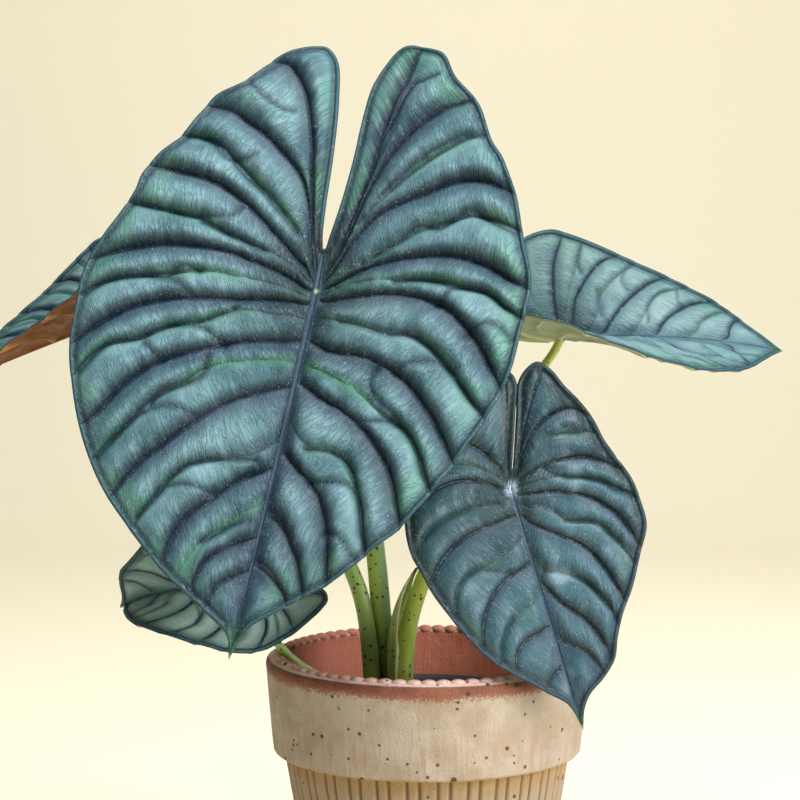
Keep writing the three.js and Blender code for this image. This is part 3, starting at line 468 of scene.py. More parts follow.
LARGE_RIGHT_HALF = HalfPattern(
    crown=(11, 110),
    margin=(
        (1.2, 24), (3.8, 41), (5.8, 62), (6.6, 84), (8, 95), (11.4, 105), (17, 114.5), (22, 117),
        (30.6, 116.5), (35.5, 115), (38.3, 112.5), (44, 102.5), (54, 93), (57.3, 88), (64, 73.5), (69, 67),
        (73, 59.5), (77, 51), (80, 42), (83, 31.5), (86, 23), (88, 17), (88.6, 10), (88, 0), (87.5, -7),
        (87, -23), (83, -38.5), (76.5, -55), (68, -73), (56, -94), (46.5, -105), (35.5, -118),
        (16.5, -133), (5.5, -142.5), (2, -149),
    ),
    veins=(
        Vein(8, ((3.5, 12), (8, 23.5), (10.6, 35), (14.7, 54), (16, 66), (20, 88), (24, 103), (26.5, 118))),
        Vein(6.8, (
            (4.5, 11.5), (9, 22.5), (12, 36), (15.6, 48), (22, 64), (32, 78), (42.7, 87.5), (54, 93),
        )),
        Vein(5.4, (
            (4.8, 9.8), (9.6, 21.5), (14.5, 32.5), (22, 43), (31, 54), (42, 64.5), (54, 73), (63, 76),
        ), faint=True),
        Vein(4, ((4.7, 7.8), (10.4, 20.5), (15.4, 29), (21, 36), (37, 46), (52.7, 54), (63, 55), (77, 50))),
        Vein(2.5, (
            (7, 7), (18.5, 14), (26, 20), (33.5, 25.5), (43, 32), (53, 36), (63, 39), (74, 37), (82, 34),
        ), faint=True),
        Vein(1, (
            (7, 3.5), (13.5, 8.5), (20.8, 13), (37, 18.5), (53, 21), (68.6, 18.5), (82, 12.5), (88, 10),
        )),
        Vein(-1.5, (
            (9, 2), (20, 6), (33, 8), (51, 10), (61.5, 8), (73.4, 6), (79, 2), (87.5, -3),
        ), faint=True),
        Vein(-4, (
            (5, -4), (10.5, -2.5), (18.5, 0), (35, 2.5), (52.5, 0), (66, -9.5), (76, -21), (84, -34),
        )),
        Vein(-12, (
            (13, -12.5), (26, -14), (43, -15), (54, -20), (62.5, -27.5), (73, -38.5), (80, -46),
        ), faint=True),
        Vein(-22, ((9, -24.5), (26.5, -26), (42.5, -32.5), (54.5, -43), (64, -54.5), (72, -66))),
        Vein(-32, ((15, -36), (28, -42), (38, -49), (48, -53.5), (57, -64), (64.5, -79)), faint=True),
        Vein(-40, ((9.5, -44), (23.5, -50.5), (36.5, -60), (46.5, -72.5), (53, -87.5), (55.5, -95))),
        Vein(-57, ((11, -66), (21, -68), (29, -71.5), (36, -83), (41, -97), (44.5, -108)), faint=True),
        Vein(-70, ((7.5, -74.5), (19, -85), (26.5, -99.5), (30, -115.5), (31, -122))),
        Vein(-95, ((9, -100.5), (16.5, -111.5), (21.5, -123), (23, -128.5))),
        Vein(-117, ((5.5, -119), (14.5, -126), (18, -132.5))),
    ),
    creases=(
        ((36.5, 102.5), (30.5, 100), (26.5, 98.5), (23.5, 93), (21, 84), (18.5, 76.5)),
        ((8, 75.5), (6.5, 90), (7, 103), (9, 113.5)),
        ((55.5, 75.5), (49.5, 73), (44, 69), (38.5, 64.5), (33, 59.5), (28, 54), (23, 48), (19.5, 43)),
        (
            (79, 33.5), (72, 36), (66, 38.5), (60.5, 41), (56, 39), (51.5, 35), (47.5, 32.5), (41, 32.5),
            (36.5, 30.5), (32, 25.5), (25, 20), (17.5, 13.5),
        ),
        ((86, -1.5), (79, 2), (73, 6), (67.5, 8), (61, 8), (56, 7), (54, 3.5), (51.5, 0.5)),
        ((57, 7.5), (50.5, 9.5), (42, 9.5), (32, 7.5)),
        ((84.5, -11.5), (79, -7.5), (74, -6.5), (69, -9), (65.5, -12.5)),
        (
            (78.5, -43), (73, -38.5), (67.5, -32.5), (62.5, -27.5), (57.5, -24), (54, -20), (49.5, -16.5),
            (43, -14.5), (34.5, -15), (26, -14), (19, -12.5), (13, -12.5),
        ),
        ((57.5, -24), (51.5, -25), (45.5, -26.5), (40, -30.5)),
        (
            (64, -77.5), (60.5, -72), (57, -64), (53, -58), (48, -53.5), (42.5, -51.5), (36.5, -52),
            (30.5, -53),
        ),
        ((47, -52.5), (42.5, -47.5), (37, -44), (32.5, -39.5), (30, -33), (31.5, -30.5)),
        (
            (43.5, -105.5), (41, -97.5), (38.5, -89.5), (36, -83.5), (31.5, -80), (26, -79.5), (20, -80),
            (14, -81),
        ),
        ((35, -81.5), (32.5, -75.5), (28, -70), (21, -67.5), (11, -68)),
        ((27, -100.5), (31, -101), (36, -104.5), (40.5, -110)),
    ),
)
LARGE_BLADE = BladePattern(length=156, lobes=118, sinus=19, halves=(LARGE_LEFT_HALF, LARGE_RIGHT_HALF))

SMALL_LEFT_HALF = HalfPattern(
    crown=(2, 44),
    margin=(
        (0.08, 15), (0.08, 30), (0.3, 42), (4, 47), (9, 48), (15, 44), (23, 36), (31, 27), (38, 17),
        (44, 8), (47.5, -3), (48.5, -12), (46.5, -22.5), (43.5, -34), (39.5, -44.5), (35, -54.5),
        (28.5, -65), (18.5, -75.5), (9, -84.5), (3, -90.5), (1, -96),
    ),
    veins=(
        Vein(5, ((1.8, 9), (2.8, 13.5), (3.6, 23.5), (4.2, 31.5), (4.8, 39), (6.5, 48))),
        Vein(3.6, ((3.5, 6.5), (7, 10.5), (11.2, 15), (15.7, 19), (24, 24), (32, 26))),
        Vein(2, ((6, 5.5), (14, 11), (24, 15), (33, 16), (39, 16)), faint=True),
        Vein(0.5, ((4, 0.8), (8.8, 3.5), (15, 6.5), (23.4, 9), (30, 9), (35.3, 7.5), (40, 5), (47, 0))),
        Vein(-3, ((6.5, -4.5), (12.5, -3.5), (26, -3.5), (33, -4.5), (41.5, -9), (48, -16)), faint=True),
        Vein(-11, ((8.5, -11.5), (20, -12.5), (31.5, -16.5), (39.5, -22.5), (45, -29))),
        Vein(-20, ((8, -24), (16, -27), (23, -27.5), (29, -29), (34, -33.5), (38.5, -47)), faint=True),
        Vein(-31, ((4.5, -32.5), (9, -33.5), (14.5, -35.5), (23, -42.5), (28.5, -52), (31, -61.5))),
        Vein(-45, ((7, -48.5), (15, -51), (20, -56), (22.5, -60), (25, -69.5)), faint=True),
        Vein(-58, ((6.5, -59.5), (11.5, -60.5), (15.5, -63), (18.5, -67), (20, -74))),
        Vein(-75, ((4, -77), (8, -80), (10, -83.5))),
    ),
    creases=(
        ((6.5, -5), (12.5, -3), (19, -2.5), (26, -3.5), (33, -4.5), (38, -7), (41.5, -9)),
        ((11, -32.5), (17, -30), (23, -28), (28.5, -29), (33.5, -33), (37, -38), (38, -43)),
        ((24, -65.5), (22.5, -59.5), (20, -56), (15, -51)),
    ),
)
SMALL_RIGHT_HALF = HalfPattern(
    crown=(2, 44),
    margin=(
        (0.08, 15), (0.08, 30), (0.3, 42), (4, 46.5), (8, 47.5), (12, 45), (15.5, 41.5), (20.5, 34.5),
        (27, 27), (33.5, 18.5), (39.5, 8), (45, 0), (48.5, -9), (49.5, -19), (49, -29.5), (43, -40.5),
        (36, -52.5), (29, -62), (24.5, -70), (20.5, -78.5), (14, -84.5), (7, -89), (3, -94),
    ),
    veins=(
        Vein(5, ((1.6, 9), (2.6, 14), (3.8, 21.5), (5.4, 28.5), (7.5, 35.5), (11.5, 45))),
        Vein(4, ((2.6, 8), (4, 13.5), (7, 18.5), (11.3, 22.5), (16.2, 24.5), (24, 24.5), (33.5, 18.5))),
        Vein(3, ((4.6, 8.5), (9.3, 12.5), (15, 16), (25.5, 14.5), (32, 13), (38, 10.5)), faint=True),
        Vein(1.5, (
            (3.9, 3), (9.8, 4.5), (16.2, 6), (22.9, 5.5), (29.3, 4.5), (35.7, 2), (41, -1), (47, -6),
        )),
        Vein(-0.8, ((10, 0), (21, -1), (28.5, -3), (36, -7), (42, -12), (49.3, -19)), faint=True),
        Vein(-3, ((9, -4.5), (17, -6), (30, -12.5), (39, -22.5), (44, -38.5))),
        Vein(-7, ((6, -10), (12, -13), (18, -18.5), (29, -23), (34, -30), (40, -45)), faint=True),
        Vein(-12, ((4, -16), (13.5, -23.5), (23, -32.5), (28.5, -44.5), (32, -58))),
        Vein(-30, ((5, -37), (12, -40), (20, -46.5), (25, -58), (26, -67)), faint=True),
        Vein(-40, ((6, -49.5), (14, -60), (18.5, -71.5), (19.5, -80))),
        Vein(-64, ((6.5, -68.5), (11, -73), (15, -83.5))),
    ),
    creases=(
        ((20.5, 18.5), (26, 16), (31, 14.5), (36, 14)),
        ((13.5, 4), (21, -0.5), (28.5, -3), (36, -7), (40.5, -12), (46.5, -16)),
        ((3.5, -7.5), (11.5, -10.5), (15.5, -14.5)),
        ((17.5, -18.5), (23.5, -20), (29, -22), (33.5, -28), (38, -35), (41, -39.5)),
        ((3.5, -35.5), (11, -39), (16.5, -42), (20, -46.5), (22.5, -52.5), (25, -58), (25.5, -62.5)),
    ),
)
SMALL_BLADE = BladePattern(length=102, lobes=48, sinus=8, halves=(SMALL_LEFT_HALF, SMALL_RIGHT_HALF))

NARROW_HALF = HalfPattern(
    crown=(4, 48),
    margin=(
        (0.7, 16), (1, 30), (2, 42), (5, 49.5), (11, 52), (19, 50), (28, 44.5), (37, 35.5), (44.5, 25),
        (49, 14), (49.5, 6), (47.5, 0), (44, -8.5), (40, -18), (36, -28), (32.5, -38), (29.5, -48),
        (26.5, -58), (24, -66), (21, -75.5), (17.5, -84), (13.5, -91.5), (9, -99), (5, -106), (1.8, -112),
    ),
    veins=(
        Vein(6, ((2.4, 11), (4.5, 20), (7, 30), (10, 40), (14, 51.5))),
        Vein(4, ((4, 8), (10, 16), (18, 24), (28, 31), (38, 34))),
        Vein(3, ((6, 6), (16, 13), (28, 18), (38, 18), (47, 19)), faint=True),
        Vein(1, ((10, 3), (17, 4.2), (26, 4.9), (35, 4.6), (47.5, 0.5))),
        Vein(-1.5, ((12, -2), (24, -4), (34, -6), (44, -9)), faint=True),
        Vein(-4.5, ((9, -4.8), (16.6, -5.6), (24, -9.1), (29.7, -13.3), (34, -18.6), (36.5, -27))),
        Vein(-11, ((9.5, -16), (20, -19), (27, -25.5), (33.5, -35)), faint=True),
        Vein(-19.5, ((2.8, -20.4), (9.5, -24.6), (16.4, -31), (22.2, -38.4), (26.1, -46.2), (28, -53.5))),
        Vein(-33, ((6.7, -37), (13, -41), (19.4, -47), (22.5, -56), (24.5, -64.5)), faint=True),
        Vein(-45, ((7.2, -49.1), (11.8, -55.3), (16.1, -64), (18.5, -73), (18.8, -81))),
        Vein(-62, ((4, -66), (8.7, -70), (13.3, -78), (15.7, -88)), faint=True),
        Vein(-80, ((2.7, -83), (7.6, -85.2), (11.1, -89), (12.2, -94))),
    ),
    creases=(
        ((41, -7.5), (33.6, -5.7), (29, -7.6)),
        ((34, -37.8), (30, -29.7), (25.3, -27), (20.8, -29.6)),
        ((20.7, -15.3), (9.5, -17.4)),
        ((6.7, -40.4), (13, -40.6), (19.4, -45), (21.8, -50.8)),
        ((23, -56.5), (17, -55.8), (14.5, -58.3)),
        ((3.5, -65), (8.7, -68.5), (13.3, -77.8), (15.7, -84)),
    ),
)
FOLDED_HALF = replace(
    NARROW_HALF,
    creases=(
        ((7.5, -31.4), (15.5, -40.4), (18.8, -54), (20.5, -66.7)),
        ((5.6, -39.4), (11.9, -56.9), (12.8, -78), (13.6, -95)),
        ((1.7, -66.5), (5.8, -84), (6.9, -101)),
    ),
)
NARROW_BLADE = BladePattern(length=116, lobes=52, sinus=9, halves=(FOLDED_HALF, NARROW_HALF))


@dataclass(frozen=True)
class LeafForm:
    """How one leaf is sized, held and folded. Pairs give the left half first.

    Angles are in degrees, and curl and bend are degrees in each 100 mm. The relief is how deep the quilting
    is beside that of the front leaf, and the cleft is half the width that the midrib has at the sinus.
    """

    name: str
    pattern: BladePattern
    attachment: Place
    aim: Place
    facing: Place
    fold_at_tip: tuple[float, float]
    fold_at_lobes: tuple[float, float]
    half_midrib: float
    route: tuple[Place, ...]
    radii: tuple[float, ...]
    pitch: float
    rows: int
    seed: int
    curl: tuple[float, float] = (0.0, 0.0)
    bend_to_tip: float = 0.0
    bend_to_lobes: float = 0.0
    lean: float = 0.0
    relief: float = 1.0
    cleft: float = 0.5
    sheathed: bool = False

    def frame(self) -> np.ndarray:
        """The leaf's axes as rows: to the right of the midrib, towards the lobes, out of the upper face."""
        to_lobes = -np.array(self.aim) / np.linalg.norm(self.aim)
        out = np.array(self.facing) - np.dot(self.facing, to_lobes) * to_lobes
        out /= np.linalg.norm(out)
        return np.array([np.cross(to_lobes, out), to_lobes, out])

    def midrib(self, y: np.ndarray) -> np.ndarray:
        """Half the width of the midrib band, from the sinus down to the tip."""
        below = self.half_midrib * np.maximum(0, 1 + y / self.pattern.length) ** 0.8
        above = lerp(self.half_midrib, self.cleft, np.maximum(y, 0) / self.pattern.sinus)
        return np.where(y > 0, above, below)

    def settle(self, flat: np.ndarray, height: np.ndarray) -> np.ndarray:
        """Takes flat points of the blade to where they lie on the plant.

        Args:
            flat: Flat points, in an array of any shape that ends in 2.
            height: How far each stands above the flat blade.

        Returns:
            Their places, folded along the midrib, curled and bent.
        """
        x, y = flat[..., 0], flat[..., 1]
        out, sign = np.abs(x), np.where(x < 0, -1.0, 1.0)
        side = (x >= 0).astype(int)
        to_lobes = smooth(y, -self.pattern.length, self.pattern.lobes)
        tip, lobes = np.array(self.fold_at_tip)[side], np.array(self.fold_at_lobes)[side]
        fold = np.radians(lerp(tip, lobes, to_lobes))
        curl = np.radians(np.array(self.curl)[side] / 100) * out
        bend = np.radians(np.where(y < 0, self.bend_to_tip, self.bend_to_lobes) / 100) * np.abs(y)
        reach = out * np.sinc(curl / (2 * np.pi))
        # Over the midrib the surface turns from one half's slope to the other's.
        tilt = (fold + curl) * np.clip(out / np.maximum(self.midrib(y), 0.1), 0, 1)
        across = reach * np.cos(fold + curl / 2) - height * np.sin(tilt)
        rise = reach * np.sin(fold + curl / 2) + height * np.cos(tilt)
        run = np.abs(y) * np.sinc(bend / (2 * np.pi))
        local = np.stack(
            [
                sign * across + self.lean * np.maximum(y, 0),
                np.sign(y) * (run * np.cos(bend / 2) + rise * np.sin(bend)),
                rise * np.cos(bend) - run * np.sin(bend / 2),
            ],
            axis=-1,
        )
        return local @ self.frame() + np.array(self.attachment)


@dataclass(frozen=True)
class Ray:
    """A line from the midrib to the margin: a vein, or the stretch of the margin that ends a half."""

    root: float
    end: float
    faint: bool
    curve: Curve
    start: float = 0.0
    stop: float = 1.0

    @property
    def reach(self) -> float:
        """Its length."""
        return self.curve.length * (self.stop - self.start)

    def at(self, share: np.ndarray) -> np.ndarray:
        """Its flat points at shares of its length."""
        return self.curve.at(self.start + (self.stop - self.start) * np.asarray(share))


@dataclass
class BladeHalf:
    """One half of a blade as a net: rows run across the veins, from the midrib out to the rim."""

    RIM_BAND = 3.2
    RIM_STEPS = (0.14, 0.27, 0.39, 0.5, 0.6, 0.7, 0.79, 0.87, 0.94, 1.0)
    RIM_SAMPLES = 301
    VEIN_SAMPLES = 81
    QUILT_RISE = 0.2
    QUILT_WIDE = 60
    QUILT_CREST = 0.66
    FAINT_SINK = 0.62
    VEIN_CUT, FAINT_CUT, CREASE_CUT = 0.5, 0.7, 1.3
    GROOVE_FROM_RIM = 2.4
    GROOVE_DEPTH = 0.6

    form: LeafForm
    side: Side

    def __post_init__(self) -> None:
        """Lays out the veins and the net between them."""
        pattern = self.form.pattern
        half = pattern.halves[self.side is Side.RIGHT]
        self.sign = self.side.value
        mirror = np.array([self.sign, 1.0])
        start = (float(self.form.midrib(np.array(pattern.sinus))), pattern.sinus)
        self.edge = Curve(np.array([start, *half.margin, (0.0, -pattern.length)]) * mirror)
        inner = self.edge.share_near(np.array(half.crown) * mirror)
        self.rays = [Ray(pattern.sinus, inner, False, self.edge, 0.0, inner)]
        for vein in half.veins:
            end = self.edge.share_near(np.array(vein.run[-1]) * mirror)
            foot = (float(self.form.midrib(np.array(vein.root))), vein.root)
            inside = np.array([foot, *vein.run[:-1]]) * mirror
            run = Curve(np.vstack([inside, self.edge.at(end)]))
            self.rays.append(Ray(vein.root, end, vein.faint, run))
        self.rays.append(Ray(-pattern.length, 1.0, False, self.edge, 1.0, 1.0))
        self.rim = self.edge.at(np.linspace(0, 1, self.RIM_SAMPLES))
        strips = [self.strip(i) for i in range(len(self.rays) - 1)]
        (self.flat, self.height, self.lobeward, self.tipward,
         self.faint, self.place, self.along, self.panel) = (
            np.concatenate([strip[k] for strip in strips], axis=1) for k in range(8)
        )
        self.to_rim = distance_to(self.flat, self.rim)
        self.relief()

    def shares(self, reach: float) -> np.ndarray:
        """Rows along a ray of a given length: even, and then close together over the rim."""
        band = min(self.RIM_BAND / max(reach, 1), 0.25)
        even = np.linspace(0, 1 - band, self.form.rows)
        return np.concatenate([even, 1 - band * (1 - np.array(self.RIM_STEPS))])

    def quilt(self, width: np.ndarray) -> np.ndarray:
        """Height of the puffed panel between two veins that stand a distance apart."""
        return self.QUILT_RISE * width / (1 + width / self.QUILT_WIDE)

    def crest(self, ray: int, share: np.ndarray) -> np.ndarray:
        """Height that a faint vein keeps of the panel between the strong veins beside it."""
        if not self.rays[ray].faint:
            return np.zeros_like(share)
        gap = self.rays[ray - 1].at(share) - self.rays[ray + 1].at(share)
        return self.quilt(np.linalg.norm(gap, axis=-1)) * (1 - self.FAINT_SINK * smooth(share, 0.1, 0.4))

    def beside(self, flat: np.ndarray, rays: list[Ray], faint: bool = False) -> np.ndarray:
        """Distance from flat points to the first ray of a list that is a vein of the asked kind.

        Args:
            flat: The flat points.
            rays: The rays on one side of them, the nearest one first.
            faint: Whether faint veins count, and strong ones don't.

        Returns:
            The distances, or a long one where there is none.
        """
        found = [ray for ray in rays if ray.faint == faint and ray not in (self.rays[0], self.rays[-1])]
        if not found:
            return np.full(flat.shape[:-1], FAR_AWAY)
        return distance_to(flat, found[0].at(np.linspace(0, 1, self.VEIN_SAMPLES)))

    def strip(self, i: int) -> tuple[np.ndarray, ...]:
        """The net between one ray and the next.

        Args:
            i: Number of the ray on the side of the lobes.

        Returns:
            Flat points, heights, distances to the strong vein on the lobes' side, to the one on the tip's
            side and to the nearest faint vein, each point's share of the way along the vein and how far that
            is, and its share of the way from one ray to the next.
        """
        upper, lower = self.rays[i], self.rays[i + 1]
        last = i == len(self.rays) - 2
        rim_width = self.edge.length * (lower.end - upper.end)
        count = max(2, 2 * round(rim_width / (2 * self.form.pitch)))
        even = np.linspace(0, 1, count + 1)
        # Columns stand closer together beside the veins, where the creases are narrow.
        t = (even - 0.55 * np.sin(2 * np.pi * even) / (2 * np.pi))[: None if last else -1]
        s = lerp(self.shares(upper.reach)[:, None], self.shares(lower.reach)[:, None], t)
        up, low = upper.at(s), lower.at(s)
        root = lerp(upper.root, lower.root, t)
        at_midrib = np.stack([self.sign * self.form.midrib(root), root], axis=-1)
        at_edge = self.edge.at(lerp(upper.end, lower.end, t))
        share, place = t[:, None], s[..., None]
        ends = [lerp(upper.at(k), lower.at(k), share) for k in (0.0, 1.0)]
        flat = lerp(up, low, share) + lerp(at_midrib, at_edge, place) - lerp(ends[0], ends[1], place)
        width = np.linalg.norm(up - low, axis=-1)
        swell = np.sin(np.pi * t ** (math.log(0.5) / math.log(self.QUILT_CREST)))
        # A faint vein parts the panel only further out, so near the midrib the two strips make one dome.
        split = upper.faint or lower.faint
        own = self.quilt(width) * swell * (lerp(0.1, 1.05, smooth(s, 0.25, 0.6)) if split else 1.15)
        fall, climb = np.cos(np.pi / 2 * t**1.6), np.sin(np.pi / 2 * t**1.2)
        height = self.crest(i, s) * fall + self.crest(i + 1, s) * climb + own
        before, after = self.rays[i::-1], self.rays[i + 1 :]
        faint = np.minimum(self.beside(flat, self.rays[i : i + 1], True), self.beside(flat, after[:1], True))
        along = s * lerp(upper.reach, lower.reach, t)
        panel = np.broadcast_to(t, s.shape)
        return flat, height, self.beside(flat, before), self.beside(flat, after), faint, s, along, panel

    def relief(self) -> None:
        """Turns the plain quilting into the middle of the blade, with its creases and its rolling puckers."""
        form, seed = self.form, self.form.seed + (self.side is Side.RIGHT)
        self.crease = np.full(self.flat.shape[:-1], FAR_AWAY)
        for run in form.pattern.halves[self.side is Side.RIGHT].creases:
            path = Curve(np.array(run) * [self.sign, 1.0], fineness=5).samples
            self.crease = np.minimum(self.crease, distance_to(self.flat, path))
        self.strong = np.minimum(self.lobeward, self.tipward)
        inland = smooth(self.to_rim, 0, 9)
        ease = smooth(np.abs(self.flat[..., 0]), 0, 7) * (0.3 + 0.7 * inland)
        puckers = 0.5 * rolling(self.flat, 8, seed) + 0.22 * rolling(self.flat, 3.4, seed + 9)
        # Wrinkles run down the steep side of each panel, across the veins.
        pleats = np.stack([self.along + 0.5 * self.lobeward, 0.22 * self.tipward], axis=-1)
        puckers = puckers + 0.7 * rolling(pleats, 3.2, seed + 5) * smooth(self.panel, 0.25, 0.8)
        outward = smooth(self.place, 0.25, 0.55)
        cuts = self.VEIN_CUT * bump(self.strong, 0.8) + self.FAINT_CUT * outward * bump(self.faint, 1.0)
        cuts += self.CREASE_CUT * bump(self.crease, 1.6)
        groove = self.GROOVE_DEPTH * bump(self.to_rim - self.GROOVE_FROM_RIM, 1.2)
        self.height = ((self.height + puckers) * ease - cuts * (0.4 + 0.6 * inland)) * form.relief - groove
        self.rib = (1.1 - 0.7 * smooth(self.along, 5, 60)) * bump(self.strong, 0.9)
        self.rib += 0.3 * bump(self.faint, 0.7)


@dataclass
class LeafBlade:
    """A blade: two quilted halves on a grooved midrib, with a rounded rim and ribs on its underside."""

    HALF_THICKNESS = 0.45
    RIM_ROUND = 0.9
    RIM_BEAD = 0.4
    MIDRIB_COLUMNS = (-0.7, -0.42, -0.2, 0.0, 0.2, 0.42, 0.7)
    MIDRIB_PITCH = 1.3
    NO_VEINS = {name: FAR_AWAY for name in ("LobeVein", "TipVein", "Vein", "FaintVein", "Crease", "Pleat")}

    form: LeafForm

    def thickness(self, to_rim: np.ndarray) -> np.ndarray:
        """Half the thickness at a distance from the rim: a rounded bead, and then a thin sheet."""
        inward = 1 - np.minimum(to_rim / self.RIM_ROUND, 1)
        bead = self.RIM_BEAD * bump(to_rim - 1.0, 0.7)
        return (self.HALF_THICKNESS + bead) * np.sqrt(1 - inward**2)

    def marks(self, flat: np.ndarray, to_rim: np.ndarray) -> dict[str, np.ndarray]:
        """Distances of flat points to the rim, stalk and tip, and to the midrib in half widths of it."""
        x, y = flat[..., 0], flat[..., 1]
        return {
            "Rim": to_rim,
            "Midrib": np.abs(x) / self.form.half_midrib,
            "Heart": np.hypot(x, y),
            "Tip": np.hypot(x, y + self.form.pattern.length),
        }

    def half_faces(self, skin: Skin, side: Side, tip: int) -> tuple[tuple[Chain, Chain], tuple[Chain, Chain]]:
        """Adds one half of the blade.

        Args:
            skin: The mesh that takes it.
            side: Which half.
            tip: Number of the tip's vertex.

        Returns:
            The upper face's chains along the midrib and round the rim, and the same for the underside.
        """
        half = BladeHalf(self.form, side)
        middle = half.height - self.HALF_THICKNESS
        thick = self.thickness(half.to_rim)
        own = {
            "LobeVein": half.lobeward,
            "TipVein": half.tipward,
            "Vein": half.strong,
            "Panel": half.panel,
            "FaintVein": half.faint,
            "Crease": half.crease,
            "Along": half.along,
            "Pleat": half.along + 0.5 * half.lobeward,
            **self.marks(half.flat, half.to_rim),
        }
        upper = skin.add(self.form.settle(half.flat, middle + thick), **own)
        skin.grid(upper_net := self.ending_in(upper, tip), flip=side is Side.LEFT)
        coarse = np.s_[:-1:2, 2::2]
        low = half.height * 0.8 - self.HALF_THICKNESS - thick - half.rib
        places = self.form.settle(half.flat[coarse], low[coarse])
        under = skin.add(places, Under=1.0, **{name: value[coarse] for name, value in own.items()})
        skin.grid(under_net := self.ending_in(under, tip), flip=side is Side.RIGHT)
        rows, columns = (np.arange(size) for size in upper.shape)
        down = -half.flat[0, :, 1]
        return (
            (Chain(upper_net[0], down), self.outline(upper_net, rows, columns)),
            (Chain(under_net[0], down[2::2]), self.outline(under_net, rows[:-1:2], columns[2::2])),
        )

    @staticmethod
    def ending_in(net: np.ndarray, tip: int) -> np.ndarray:
        """A net whose last column is drawn together in the tip."""
        return np.hstack([net[:, :-1], np.full((len(net), 1), tip)])

    @staticmethod
    def outline(net: np.ndarray, rows: np.ndarray, columns: np.ndarray) -> Chain:
        """The outer chain of a net, from the sinus along the lobe's inner side and the margin to the tip.

        Args:
            net: Vertex numbers.
            rows: Each row's number in the finest net.
            columns: Each column's number in the finest net.

        Returns:
            The chain, with places that are alike in nets of different fineness.
        """
        vertices = np.concatenate([net[:-1, 0], net[-1]])
        return Chain(vertices, np.concatenate([rows[:-1], 1000 + columns]) + 1.0)

    def midrib_faces(self, skin: Skin, tip: int, face: Face) -> tuple[np.ndarray, np.ndarray]:
        """Adds the midrib band on one face of the blade.

        Args:
            skin: The mesh that takes it.
            tip: Number of the tip's vertex.
            face: The grooved upper face, or the ridge of the underside.

        Returns:
            Its vertex numbers in rows from the sinus to the tip, and how far down each row lies.
        """
        pattern, under = self.form.pattern, face is Face.UNDER
        near = pattern.sinus - np.array([0.0, 0.2, 0.45, 0.8, 1.3, 2.0])
        count = int((pattern.sinus + pattern.length) / self.MIDRIB_PITCH)
        y = np.concatenate([near, np.linspace(pattern.sinus - 3, -pattern.length, count)])
        y = y[1:] if under else y
        columns = np.array(self.MIDRIB_COLUMNS)
        half_width = self.form.midrib(y)[:, None]
        x = columns * half_width
        flat = np.stack([x, np.broadcast_to(y[:, None], x.shape)], axis=-1)
        to_rim = np.broadcast_to(pattern.sinus - y[:, None], x.shape)
        thick = self.thickness(to_rim)
        crown = np.sqrt(1 - columns**2) * half_width
        sunk = smooth(to_rim, 0, 8)
        if under:
            height = -self.HALF_THICKNESS - thick - 0.95 * crown * sunk
        else:
            height = -self.HALF_THICKNESS + thick + (0.22 * crown - 0.5 * bump(x, 0.45)) * sunk
        values = self.NO_VEINS | self.marks(flat, to_rim) | {"Under": face.value}
        index = skin.add(self.form.settle(flat, height), **values)
        index[-1] = tip
        skin.grid(index, flip=not under)
        return index, -y

    def build(self) -> bpy.types.Object:
        """Makes the blade's mesh.

        Returns:
            The piece.
        """
        skin = Skin()
        end = np.array([[0.0, -self.form.pattern.length]])
        place = self.form.settle(end, np.array([-self.HALF_THICKNESS]))
        tip = int(skin.add(place, **self.NO_VEINS, **self.marks(end, np.zeros(1)))[0])
        left, right = (self.half_faces(skin, side, tip) for side in Side)
        loops = []
        for face, left_chains, right_chains in zip(Face, left, right):
            band, down = self.midrib_faces(skin, tip, face)
            skin.stitch(left_chains[0], Chain(band[:, 0], down), flip=face is Face.UNDER)
            skin.stitch(right_chains[0], Chain(band[:, -1], down), flip=face is Face.UPPER)
            sinus = Chain(band[0], np.array(self.MIDRIB_COLUMNS))
            loops.append(left_chains[1].turned().then(sinus).then(right_chains[1]))
        skin.stitch(*loops)
        return skin.object(f"{self.form.name}_quilted_blade")


